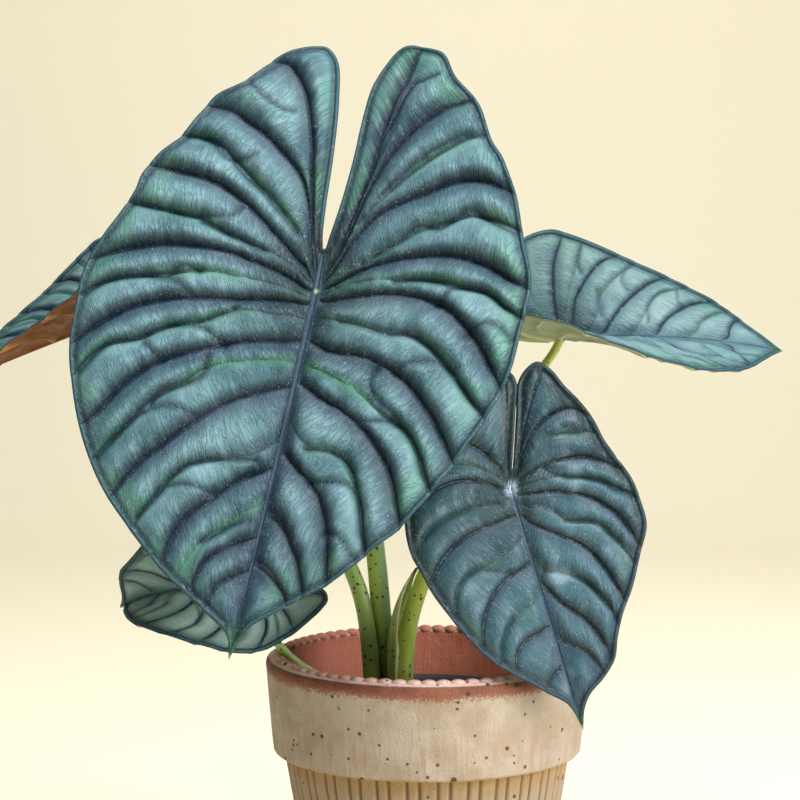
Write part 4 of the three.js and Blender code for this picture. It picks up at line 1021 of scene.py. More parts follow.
LEAVES = (
    LeafForm(
        name="front", pattern=LARGE_BLADE, attachment=(-45.5, -50, 286), aim=(-0.2, -0.34, -0.92),
        facing=(-0.13, -0.94, 0.33), fold_at_tip=(7, 7), fold_at_lobes=(7, 7), bend_to_tip=-4,
        bend_to_lobes=8, lean=-0.06, half_midrib=2.4,
        route=(
            (-14, 3, 76), (-16, 3, 100), (-17.5, 3, 118), (-18.8, 3, 134), (-20.5, 3, 152), (-23, 3, 178),
            (-28, 2, 210), (-35, -5, 245), (-41, -22, 273),
        ),
        radii=(6, 4.6, 4.2, 3.8, 3.4, 3), pitch=1.0, rows=79, seed=11,
    ),
    LeafForm(
        name="right", pattern=SMALL_BLADE, attachment=(33.7, -52, 205.3), aim=(0.28, -0.1, -0.95),
        facing=(0.12, -0.98, 0.1), fold_at_tip=(9, 9), fold_at_lobes=(9, 9), curl=(-6, -6), bend_to_tip=-4,
        bend_to_lobes=28, lean=0.38, half_midrib=1.3,
        route=(
            (-8, -7, 76), (-10, -6, 100), (-11.5, -5.5, 118), (-9.5, -5, 134), (-5.5, -5, 150),
            (-0.5, -6, 164), (8, -9, 182), (19, -18, 198), (29, -34, 206),
        ),
        radii=(5.2, 4.8, 3.8, 3.2, 2.8, 2.6), pitch=0.75, rows=69, seed=23, relief=0.8, cleft=0.08,
        sheathed=True,
    ),
    LeafForm(
        name="far", pattern=NARROW_BLADE, attachment=(60.6, 36, 263.7), aim=(0.98, 0.158, 0.026),
        facing=(0, -0.831, 0.36), fold_at_tip=(18.9, -5.5), fold_at_lobes=(88.6, 49.3), curl=(-8, -8),
        bend_to_tip=23.7, half_midrib=1.3,
        route=(
            (-6, 9, 76), (-8, 9, 100), (-9, 9, 118), (-7.5, 9, 134), (-4.3, 10, 150), (1, 12, 164),
            (14, 18, 190), (32, 27, 222), (46, 35, 242), (56, 39, 255),
        ),
        radii=(3.4, 3.2, 2.6, 2.2, 2, 1.9), pitch=0.8, rows=65, seed=37, relief=0.5,
    ),
    LeafForm(
        name="left", pattern=NARROW_BLADE.sized(0.754), attachment=(-131.5, 6, 275.3),
        aim=(-0.838, -0.454, -0.303), facing=(-0.3, -0.169, 0.947), fold_at_tip=(26, 26),
        fold_at_lobes=(66, 66), curl=(-8, -8), bend_to_tip=6, half_midrib=1.2,
        route=(
            (-22, -5, 76), (-23, -4, 100), (-24, -3, 118), (-25.3, -2, 134), (-28.2, 0, 151),
            (-33, 4, 164), (-52, 12, 205), (-82, 17, 240), (-108, 14, 255), (-125, 9, 264),
        ),
        radii=(3.9, 3.7, 3.3, 2.8, 2.5, 2.3), pitch=0.8, rows=49, seed=41, relief=0.6,
    ),
    LeafForm(
        name="low", pattern=SMALL_BLADE.sized(0.704, mirror=True), attachment=(-75.7, -15, 160.7),
        aim=(-0.996, -0.089, 0.014), facing=(0.114, -1.078, 0.508), fold_at_tip=(48.5, 48.5),
        fold_at_lobes=(0, 0), bend_to_tip=93, bend_to_lobes=38, half_midrib=0.9,
        route=(
            (-18, -12, 76), (-19, -12, 98), (-23, -11, 108), (-30, -9, 113), (-42, -7, 117),
            (-53, -7, 122.5), (-63, -7, 131.5), (-71, -4, 142), (-76, -4, 154),
        ),
        radii=(2.3, 2.2, 2, 1.9, 1.8, 1.8), pitch=0.75, rows=45, seed=59, relief=0.6,
    ),
)


def ring_of(
    centre: np.ndarray, side: np.ndarray, up: np.ndarray, radius: np.ndarray, angle: np.ndarray
) -> np.ndarray:
    """Points round each station of a route.

    Args:
        centre: The stations, one a row.
        side: Unit vectors across the route, one a row.
        up: Unit vectors square to them, one a row.
        radius: Radius of each point, in rows of stations.
        angle: Angle of each point, in rows of stations or one row for all.

    Returns:
        The points, in rows of stations.
    """
    level = np.cos(angle)[..., None] * side[:, None] + np.sin(angle)[..., None] * up[:, None]
    return centre[:, None] + radius[..., None] * level


@dataclass
class LeafStalk:
    """A spotted stalk that rises out of the mix and carries one blade, with an open sheath on one of them."""

    SIDES = 24
    RINGS = 150
    FOOT_HEIGHT = 90.0
    LENGTH = 180
    SHEATH = (0.22, 0.53)
    SHEATH_SIDE = (-0.93, 0.3, 0.0)
    SHEATH_FLARE = 3.0
    SHEATH_WALL = 0.8
    SHEATH_ROWS = 70
    SHEATH_COLUMNS = 17

    form: LeafForm

    def stations(self, shares: np.ndarray) -> tuple[np.ndarray, np.ndarray]:
        """Places along the route, and the way that it runs there."""
        form = self.form
        top = np.array([0.0, 0.0, -1.5]) @ form.frame() + np.array(form.attachment)
        route = Curve(np.vstack([form.route, top]))
        ahead = route.at(np.minimum(shares + 0.002, 1)) - route.at(np.maximum(shares - 0.002, 0))
        return route.at(shares), ahead / np.linalg.norm(ahead, axis=1, keepdims=True)

    def radius(self, shares: np.ndarray) -> np.ndarray:
        """Radius of the plain stalk at shares of its length."""
        radii = self.form.radii
        return np.interp(shares * (len(radii) - 1), np.arange(len(radii)), radii)

    def build(self) -> bpy.types.Object:
        """Makes the stalk's mesh, with its sheath if it has one.

        Returns:
            The piece.
        """
        skin = Skin()
        shares = np.linspace(0, 1, self.RINGS)
        centre, ahead = self.stations(shares)
        shares = shares[centre[:, 2] > self.FOOT_HEIGHT]
        centre, ahead = self.stations(shares)
        side = np.cross(ahead, (0.2, 1.0, 0.1))
        side /= np.linalg.norm(side, axis=1, keepdims=True)
        up = np.cross(ahead, side)
        angle = np.linspace(0, 2 * np.pi, self.SIDES, endpoint=False)
        along = np.broadcast_to((shares * self.LENGTH)[:, None], (len(shares), self.SIDES))
        around = np.broadcast_to(angle * 3, along.shape)
        uneven = 1 + 0.035 * rolling(np.stack([around, along], axis=-1), 6, self.form.seed)
        radius = self.radius(shares)[:, None] * uneven
        left = np.broadcast_to(np.cos(angle), along.shape)
        tube = skin.add(ring_of(centre, side, up, radius, angle), Along=along, Left=left)
        skin.grid(tube, closed=True)
        skin.cap(tube[0], centre[0], flip=True)
        skin.cap(tube[-1], centre[-1])
        if self.form.sheathed:
            self.add_sheath(skin)
        return skin.object(f"{self.form.name}_spotted_stalk")

    def add_sheath(self, skin: Skin) -> None:
        """Adds the open sheath, which clasps one side of the stalk and narrows to a free tip."""
        share = np.linspace(0, 1, self.SHEATH_ROWS)
        place = lerp(self.SHEATH[0], self.SHEATH[1], share)
        centre, ahead = self.stations(place)
        back = np.array(self.SHEATH_SIDE) - (ahead @ np.array(self.SHEATH_SIDE))[:, None] * ahead
        back /= np.linalg.norm(back, axis=1, keepdims=True)
        across = np.cross(ahead, back)
        stem = self.radius(place)
        spread = np.radians(lerp(90, 16, share**2))
        outer = stem + 0.6 + self.SHEATH_FLARE * np.sin(np.pi * share**1.3) + share
        inner = lerp(stem * 0.8, outer - self.SHEATH_WALL, smooth(share, 0.25, 0.45))
        turn = np.linspace(-1, 1, self.SHEATH_COLUMNS)
        angle = spread[:, None] * np.concatenate([turn, turn[::-1]])
        wall = np.repeat([1.0, 0.0], self.SHEATH_COLUMNS)
        radius = lerp(inner[:, None], outer[:, None], wall)
        margin = np.abs(angle) / spread[:, None]
        loop = skin.add(
            ring_of(centre, back, across, radius, angle),
            Along=np.broadcast_to((place * self.LENGTH)[:, None], radius.shape),
            Sheath=1.0,
            Margin=smooth(margin, 0.86, 0.97),
            Brown=np.broadcast_to(smooth(share, 0.86, 1.0)[:, None], radius.shape),
        )
        skin.grid(loop, closed=True)
        skin.cap(loop[0], centre[0] + back[0] * inner[0], flip=True, Sheath=1.0)
        skin.cap(loop[-1], centre[-1] + back[-1] * lerp(inner, outer, 0.5)[-1], Sheath=1.0, Brown=1.0)


def turned_rows(radius: np.ndarray, height: np.ndarray, columns: int) -> np.ndarray:
    """Points of a wall turned about Z, in rows of columns.

    Args:
        radius: Radius of each row, or of each point.
        height: Height of each row, or of each point.
        columns: Number of points round.

    Returns:
        The points.
    """
    angle = np.linspace(0, 2 * np.pi, columns, endpoint=False) - np.pi / 2
    radius, height = (np.asarray(v, float) for v in (radius, height))
    radius = np.broadcast_to(radius if radius.ndim == 2 else radius[:, None], (len(radius), columns))
    height = np.broadcast_to(height if height.ndim == 2 else height[:, None], (len(height), columns))
    return np.stack([radius * np.cos(angle), radius * np.sin(angle), height], axis=-1)


def ring_chain(row: np.ndarray) -> Chain:
    """A closed row of vertices as a chain that comes back to its start."""
    return Chain(np.append(row, row[0]), np.linspace(0, 1, len(row) + 1))


def pierced(piece: bpy.types.Object, holes: int, radius: float, ring: float, top: float, turn: float) -> None:
    """Cuts a ring of round holes through the floor of a pot.

    Args:
        piece: The pot.
        holes: Number of holes.
        radius: A hole's radius.
        ring: Radius of the ring that the holes stand on.
        top: Height that the cut reaches.
        turn: Angle of the first hole.
    """
    skin = Skin()
    for i in range(holes):
        angle = turn + i / holes * 2 * np.pi
        middle = np.array([ring * math.cos(angle), ring * math.sin(angle), 0.0])
        wall = skin.add(turned_rows(np.array([radius, radius]), np.array([-top, top]), 48) + middle)
        skin.grid(wall, closed=True)
        skin.cap(wall[0], middle - [0, 0, top], flip=True)
        skin.cap(wall[1], middle + [0, 0, top])
    cutter = skin.object("drill")
    cut = piece.modifiers.new("holes", "BOOLEAN")
    cut.operation, cut.solver, cut.object = "DIFFERENCE", "EXACT", cutter
    with bpy.context.temp_override(object=piece, active_object=piece):
        bpy.ops.object.modifier_apply(modifier=cut.name)
    bpy.data.objects.remove(cutter)


@dataclass
class TerracottaPot:
    """The outer pot: a fluted body, a plain collar, and a row of beads round the inner edge of the rim."""

    height: float = 127.7
    rim_radius: float = 70
    collar_height: float = 41
    collar_foot_radius: float = 67.5
    body_top_radius: float = 62.4
    base_radius: float = 48
    wall: float = 6
    floor: float = 8
    flutes: int = 30
    flute_depth: float = 1.1
    flute_columns: int = 22
    groove_places: tuple[float, float] = (0.3, 0.7)
    groove_width: float = 0.055
    rib_round: float = 0.12
    foot_round: float = 1.1
    rim_round: float = 4
    rim_draw: float = 2.4
    inside_columns: int = 180
    beads: int = 68
    bead_ring: float = 64.4
    bead_radius: float = 1.9
    bead_stretch: float = 1.35
    bead_sink: float = 0.5
    bead_columns: int = 10
    collar_columns: int = 528
    holes: int = 3
    hole_radius: float = 5
    hole_ring: float = 24

    def body_radius(self, z: np.ndarray) -> np.ndarray:
        """Outer radius of the body at a height, without its grooves."""
        slope = (self.body_top_radius - self.base_radius) / (self.height - self.collar_height)
        return self.base_radius + slope * z

    def add_body(self, skin: Skin) -> np.ndarray:
        """Adds the fluted wall and the underside.

        Args:
            skin: The mesh that takes it.

        Returns:
            The wall's top row.
        """
        columns = self.flutes * self.flute_columns
        foot = self.height - self.collar_height
        z = np.concatenate([[0.0, 0.35, 1.0], np.linspace(2.5, foot, 56)])
        share = np.arange(columns) / self.flute_columns % 1
        groove = sum(bump(share - place, self.groove_width) for place in self.groove_places)
        rib = self.rib_round * np.abs(np.cos(np.pi * (share + 0.2) / 0.6)) ** 2
        angle = np.arange(columns) / columns * 50
        spots = np.stack(np.broadcast_arrays(angle, z[:, None]), axis=-1)
        uneven = 0.22 * rolling(spots, 9, 3) + 0.1 * rolling(spots, 3, 4)
        low = np.maximum(self.foot_round - z, 0)
        edge = self.foot_round - np.sqrt(self.foot_round**2 - low**2)
        radius = self.body_radius(z)[:, None] - self.flute_depth * np.minimum(groove, 1) - rib + uneven - 0.35
        rows = turned_rows(radius - edge[:, None], z, columns)
        grooves = np.broadcast_to(groove, radius.shape)
        wall = skin.add(rows, Groove=grooves, FromRim=self.height - rows[..., 2])
        skin.grid(wall, closed=True)
        reach = np.array([self.base_radius - 3.5, 20])
        inner = skin.add(turned_rows(reach, np.zeros(2), self.inside_columns), Bare=1.0)
        skin.stitch(ring_chain(wall[0]), ring_chain(inner[0]), flip=True)
        skin.grid(inner[::-1], closed=True)
        skin.cap(inner[1], np.zeros(3), flip=True, Bare=1.0)
        return wall[-1]

    def add_collar(self, skin: Skin, body_top: np.ndarray) -> np.ndarray:
        """Adds the collar, from under its foot up and over the rim.

        Args:
            skin: The mesh that takes it.
            body_top: The body's top row.

        Returns:
            The row at the rim's inner edge.
        """
        foot, top = self.height - self.collar_height, self.height
        columns = self.collar_columns
        rise = np.linspace(foot + 1.6, top - self.rim_round, 30)
        outline = [(self.collar_foot_radius - 2, foot), (self.collar_foot_radius - 0.9, foot + 0.3)]
        outline += [(self.collar_foot_radius - 0.35, foot + 0.9)]
        radii = (self.collar_foot_radius - 0.3, self.rim_radius)
        outline += [(np.interp(z, rise[[0, -1]], radii), z) for z in rise]
        bend = np.radians((15, 30, 45, 60, 75, 90))
        draw, high = self.rim_radius - self.rim_draw, top - self.rim_round
        outline += [(draw + self.rim_draw * math.cos(a), high + self.rim_round * math.sin(a)) for a in bend]
        outline += [(self.rim_radius - 3.4, top), (self.bead_ring, top), (self.bead_ring - 1.6, top - 0.6)]
        radius, z = (np.array(v)[:, None] for v in zip(*outline))
        angle = np.arange(columns) / columns * 2 * np.pi
        spots = np.stack(np.broadcast_arrays(angle * 60, z), axis=-1)
        uneven = 0.28 * rolling(spots, 14, 5) + 0.1 * rolling(spots, 4, 6) - 0.3
        on_rim = np.broadcast_to(smooth(z, top - 1.6, top), uneven.shape)
        rows = turned_rows(radius + uneven, z - 0.25 * on_rim, columns)
        collar = skin.add(rows, RimTop=on_rim, FromRim=top - rows[..., 2])
        skin.stitch(ring_chain(body_top), ring_chain(collar[0]))
        skin.grid(collar, closed=True)
        return collar[-1]

    def add_inside(self, skin: Skin, rim: np.ndarray) -> None:
        """Adds the bare inner wall and the floor, from the rim down.

        Args:
            skin: The mesh that takes it.
            rim: The row at the rim's inner edge.
        """
        foot = self.height - self.collar_height
        inner = self.body_radius(foot) - self.wall
        z = np.array([self.height - 3.2, self.height - 12, foot + 10, foot, 60.0, 30.0, self.floor + 3])
        z = np.append(z, [self.floor + 0.8, self.floor])
        radius = np.where(z > foot, np.interp(z, (foot, self.height), (inner, self.bead_ring - 1)), 0)
        radius = np.where(z > foot, radius, self.body_radius(z) - self.wall)
        radius[-1] -= 1.2
        wall = skin.add(turned_rows(radius, z, self.inside_columns), Bare=1.0)
        skin.stitch(ring_chain(rim), ring_chain(wall[0]))
        skin.grid(wall, closed=True)
        flat = turned_rows(np.array([38.0, 12.0]), np.full(2, self.floor), self.inside_columns // 2)
        disc = skin.add(flat, Bare=1.0)
        skin.stitch(ring_chain(wall[-1]), ring_chain(disc[0]))
        skin.grid(disc, closed=True)
        skin.cap(disc[1], np.array([0, 0, self.floor]), Bare=1.0)

    def add_beads(self, skin: Skin) -> None:
        """Adds the beads as a string that swells at each of them, and is wider than it is high."""
        columns = self.beads * self.bead_columns
        turn = np.arange(columns) / columns * 2 * np.pi
        swell = self.bead_radius * (0.5 + 0.5 * np.abs(np.cos(turn * self.beads / 2)) ** 0.7)
        angle = np.linspace(0, 2 * np.pi, 14, endpoint=False)[:, None]
        radius = self.bead_ring + self.bead_stretch * swell * np.cos(angle)
        height = self.height - self.bead_sink - 0.1 + np.minimum(swell * np.sin(angle), self.bead_radius)
        dip = np.broadcast_to(1 - swell / self.bead_radius, radius.shape)
        inward = np.broadcast_to(0.5 - 0.5 * np.cos(angle + 0.5), radius.shape)
        beads = skin.add(turned_rows(radius, height, columns), Bead=1.0, Dip=2 * dip, Inward=inward)
        skin.grid(np.vstack([beads, beads[:1]]), closed=True)

    def build(self) -> bpy.types.Object:
        """Makes the pot's mesh.

        Returns:
            The piece.
        """
        skin = Skin()
        self.add_inside(skin, self.add_collar(skin, self.add_body(skin)))
        pot = skin.object("washed_terracotta_pot")
        pierced(pot, self.holes, self.hole_radius, self.hole_ring, self.floor + 1, 0.4)
        string = Skin()
        self.add_beads(string)
        beads = string.object("rim_beads")
        with bpy.context.temp_override(active_object=pot, selected_editable_objects=[pot, beads]):
            bpy.ops.object.join()
        return pot


@dataclass
class GrowersPot:
    """The thin plastic pot that stands inside the terracotta one, with a rolled lip and drain holes."""

    floor: float = 8.3
    height: float = 99.8
    rim_radius: float = 56
    base_radius: float = 40
    wall: float = 1.4
    lip: float = 1.5
    lip_height: float = 6
    columns: int = 120
    holes: int = 3
    hole_radius: float = 4
    hole_ring: float = 27

    def radius(self, h: np.ndarray) -> np.ndarray:
        """Outer radius at a height above the floor."""
        return lerp(self.base_radius, self.rim_radius - self.lip, h / self.height)

    def build(self) -> bpy.types.Object:
        """Makes the pot's mesh.

        Returns:
            The piece.
        """
        lip_foot = self.height - self.lip_height
        lip = [lip_foot, lip_foot + 0.5, lip_foot + 1, self.height - 1.2, self.height - 0.5]
        h = np.array([0, 0.6, 30, 60, *lip])
        outer = self.radius(h) - 0.1
        outer[0] -= 0.7
        outer[5:] = self.radius(h[5:]) + self.lip * np.array([0.8, 0.95, 0.95, 0.8])
        top = self.height - 0.4
        down = np.array([top, top - 0.2, top - 1.2, 60, 30, self.wall + 0.8, self.wall])
        inner = self.radius(down) - self.wall
        inner[0] = self.rim_radius - self.lip * 0.9
        inner[1] = self.radius(top) - self.wall * 0.6
        inner[-1] -= 1
        skin = Skin()
        radius, height = np.concatenate([outer, inner]), np.concatenate([h, down]) + self.floor
        wall = skin.add(turned_rows(radius, height, self.columns))
        skin.grid(wall, closed=True)
        skin.cap(wall[0], np.array([0, 0, self.floor]), flip=True)
        skin.cap(wall[-1], np.array([0, 0, self.floor + self.wall]))
        pot = skin.object("black_growers_pot")
        pierced(pot, self.holes, self.hole_radius, self.hole_ring, self.floor + 4, 0.9)
        return pot


@dataclass
class PottingMix:
    """Bark and peat that fills the grower's pot, heaped a little round the stalks."""

    top: float = 97.2
    radius: float = 52.2
    foot: float = 9.9
    foot_radius: float = 38
    rings: int = 56
    columns: int = 150
    chips: int = 900
    chip_sides: int = 7
    seed: int = 71

    def build(self) -> bpy.types.Object:
        """Makes the mix and its chips.

        Returns:
            The piece.
        """
        skin = Skin()
        reach = np.linspace(1, 0.02, self.rings)
        flat = turned_rows(reach * self.radius, np.zeros(self.rings), self.columns)[..., :2]
        lumps = 0.9 * rolling(flat, 7, self.seed) + 0.5 * rolling(flat, 2.6, self.seed + 1) - 1.4
        ground = skin.add(turned_rows(reach * self.radius, self.top + lumps, self.columns))
        skin.grid(ground, closed=True)
        skin.cap(ground[-1], np.array([0, 0, self.top - 1]))
        radius, height = np.array([self.foot_radius, self.radius - 0.2]), np.array([self.foot, 90.0])
        wall = skin.add(turned_rows(radius, height, self.columns))
        skin.grid(np.vstack([wall, ground[:1]]), closed=True)
        skin.cap(wall[0], np.array([0, 0, self.foot]), flip=True)
        self.scatter_chips(skin)
        return skin.object("bark_potting_mix")

    def scatter_chips(self, skin: Skin) -> None:
        """Lays uneven chips of bark over the mix."""
        rng = np.random.default_rng(self.seed)
        for _ in range(self.chips):
            length, width, depth = rng.uniform(1.2, 4.2), rng.uniform(0.8, 2.2), rng.uniform(0.4, 1.1)
            turn, tilt = rng.uniform(0, 2 * np.pi), rng.uniform(-0.5, 0.5)
            reach = (self.radius - 4) * math.sqrt(rng.uniform(0, 1))
            angle = np.linspace(0, 2 * np.pi, self.chip_sides, endpoint=False)
            ragged = rng.uniform(0.7, 1.1, self.chip_sides)
            across = width / 2 * ragged * np.sin(angle)
            flat = np.stack([length / 2 * ragged * np.cos(angle), across], axis=-1)
            levels = ((0.8, 0), (1, depth / 2), (0.7, depth))
            rows = np.array([np.column_stack([flat * k, np.full(self.chip_sides, z)]) for k, z in levels])
            turner = Matrix.Rotation(turn, 3, "Z") @ Matrix.Rotation(tilt, 3, "X")
            spot = rng.uniform(0, 2 * np.pi)
            middle = np.array([reach * math.cos(spot), reach * math.sin(spot), self.top - 1.2])
            ends = np.array([[0, 0, 0], [0, 0, depth]]) @ np.array(turner).T + middle
            chip = skin.add(rows @ np.array(turner).T + middle, Chip=rng.uniform(0.2, 1.0))
            skin.grid(chip, closed=True)
            skin.cap(chip[0], ends[0], flip=True, Chip=0.5)
            skin.cap(chip[-1], ends[1], Chip=0.5)


Step = tuple[str, float, float]


@dataclass(frozen=True)
class Coat:
    """One colour over those below it, where each of its values passes from one number to another.

    A step names a value, then where there is none of the coat and where it is at its full strength.
    """

    colour: str
    where: tuple[Step, ...]
    strength: float = 1.0


@dataclass(frozen=True)
class Ripple:
    """Relief too fine for the mesh, in millimetres, that rises where its values pass between two numbers."""

    where: tuple[Step, ...]
    rise: float


class Surface:
    """A material in the making: its shader, and the values of the surface that its coats go by."""

    def __init__(self, name: str) -> None:
        """Starts the material.

        Args:
            name: The material's name.
        """
        self.material = bpy.data.materials.new(name)
        self.material.use_nodes = True
        self.tree = self.material.node_tree
        self.shader = self.tree.nodes["Principled BSDF"]
        self.place = add_node(self.tree, "ShaderNodeTexCoord").outputs["Object"]
        self.values: dict[str, bpy.types.NodeSocket] = {}

    def value(self, name: str) -> bpy.types.NodeSocket:
        """A value of the surface: one that was made for it, or else the mesh's own of that name."""
        if name not in self.values:
            node = add_node(self.tree, "ShaderNodeAttribute", {"attribute_name": name})
            self.values[name] = node.outputs["Fac"]
        return self.values[name]

    def add_mottle(self, name: str, size: float, detail: float = 4.0, stretch: Place = (1, 1, 1)) -> None:
        """Adds a value between 0 and 1 that wanders over the surface.

        Args:
            name: The value's name.
            size: Size of its swells in millimetres.
            detail: How many finer layers it has.
            stretch: How closely the swells follow each other along each axis.
        """
        laid = add_node(self.tree, "ShaderNodeMapping", {"Scale": stretch}, {"Vector": self.place})
        settings = {"Scale": 1 / (size * METRES), "Detail": detail, "Roughness": 0.6}
        noise = add_node(self.tree, "ShaderNodeTexNoise", settings, {"Vector": laid.outputs[0]})
        self.values[name] = noise.outputs["Fac"]

    def add_spots(self, name: str, spacing: float, radius: float, rarity: float) -> None:
        """Scatters round spots of many sizes. The value is how far outside a spot a point lies, in spacings.

        Args:
            name: The value's name.
            spacing: Distance between neighbouring spots in millimetres.
            radius: Radius of the largest spots in millimetres.
            rarity: 1 for as many large spots as small ones, and more for fewer large ones.
        """
        cells = add_node(
            self.tree, "ShaderNodeTexVoronoi", {"Scale": 1 / (spacing * METRES)}, {"Vector": self.place}
        )
        dice = add_node(self.tree, "ShaderNodeSeparateColor", {}, {"Color": cells.outputs["Color"]})
        size = add_node(self.tree, "ShaderNodeMath", {"operation": "POWER", 1: rarity}, {0: dice.outputs[0]})
        reach = {"operation": "MULTIPLY_ADD", 1: -radius / spacing}
        links = {0: size.outputs[0], 2: cells.outputs["Distance"]}
        self.values[name] = add_node(self.tree, "ShaderNodeMath", reach, links).outputs[0]

    def amount(self, where: tuple[Step, ...], full: float) -> bpy.types.NodeSocket:
        """How much of a coat or a ripple there is.

        Args:
            where: Its steps, which are multiplied.
            full: What it comes to where each step is full.

        Returns:
            The output that carries it.
        """
        product = None
        for name, none, whole in where:
            most = full if product is None else 1.0
            limits = {"interpolation_type": "SMOOTHSTEP", 1: none, 2: whole, 4: most}
            share = add_node(self.tree, "ShaderNodeMapRange", limits, {"Value": self.value(name)})
            if product is None:
                product = share.outputs["Result"]
            else:
                links = {0: product, 1: share.outputs["Result"]}
                product = add_node(self.tree, "ShaderNodeMath", {"operation": "MULTIPLY"}, links).outputs[0]
        return product

    def dress(
        self, base: str, gloss: dict[str, float],
        coats: tuple[Coat, ...] = (), ripples: tuple[Ripple, ...] = (),
    ) -> bpy.types.Material:
        """Lays the coats and the fine relief.

        Args:
            base: The colour under all coats.
            gloss: Values of the shader's own sockets.
            coats: The coats from the lowest up.
            ripples: The fine relief.

        Returns:
            The finished material.
        """
        for socket, number in gloss.items():
            self.shader.inputs[socket].default_value = number
        self.shader.inputs["Base Color"].default_value = linear(base)
        under = None
        for coat in coats:
            settings = {"data_type": "RGBA", 7: linear(coat.colour)}
            links = {0: self.amount(coat.where, coat.strength)}
            if under is None:
                settings[6] = linear(base)
            else:
                links[6] = under
            under = add_node(self.tree, "ShaderNodeMix", settings, links).outputs[2]
        if under is not None:
            self.tree.links.new(under, self.shader.inputs["Base Color"])
        height = None
        for ripple in ripples:
            rise = self.amount(ripple.where, ripple.rise)
            if height is not None:
                total = add_node(self.tree, "ShaderNodeMath", {"operation": "ADD"}, {0: height, 1: rise})
                rise = total.outputs[0]
            height = rise
        if height is not None:
            relief = {"Strength": 1.0, "Distance": METRES}
            bumps = add_node(self.tree, "ShaderNodeBump", relief, {"Height": height})
            self.tree.links.new(bumps.outputs["Normal"], self.shader.inputs["Normal"])
        return self.material


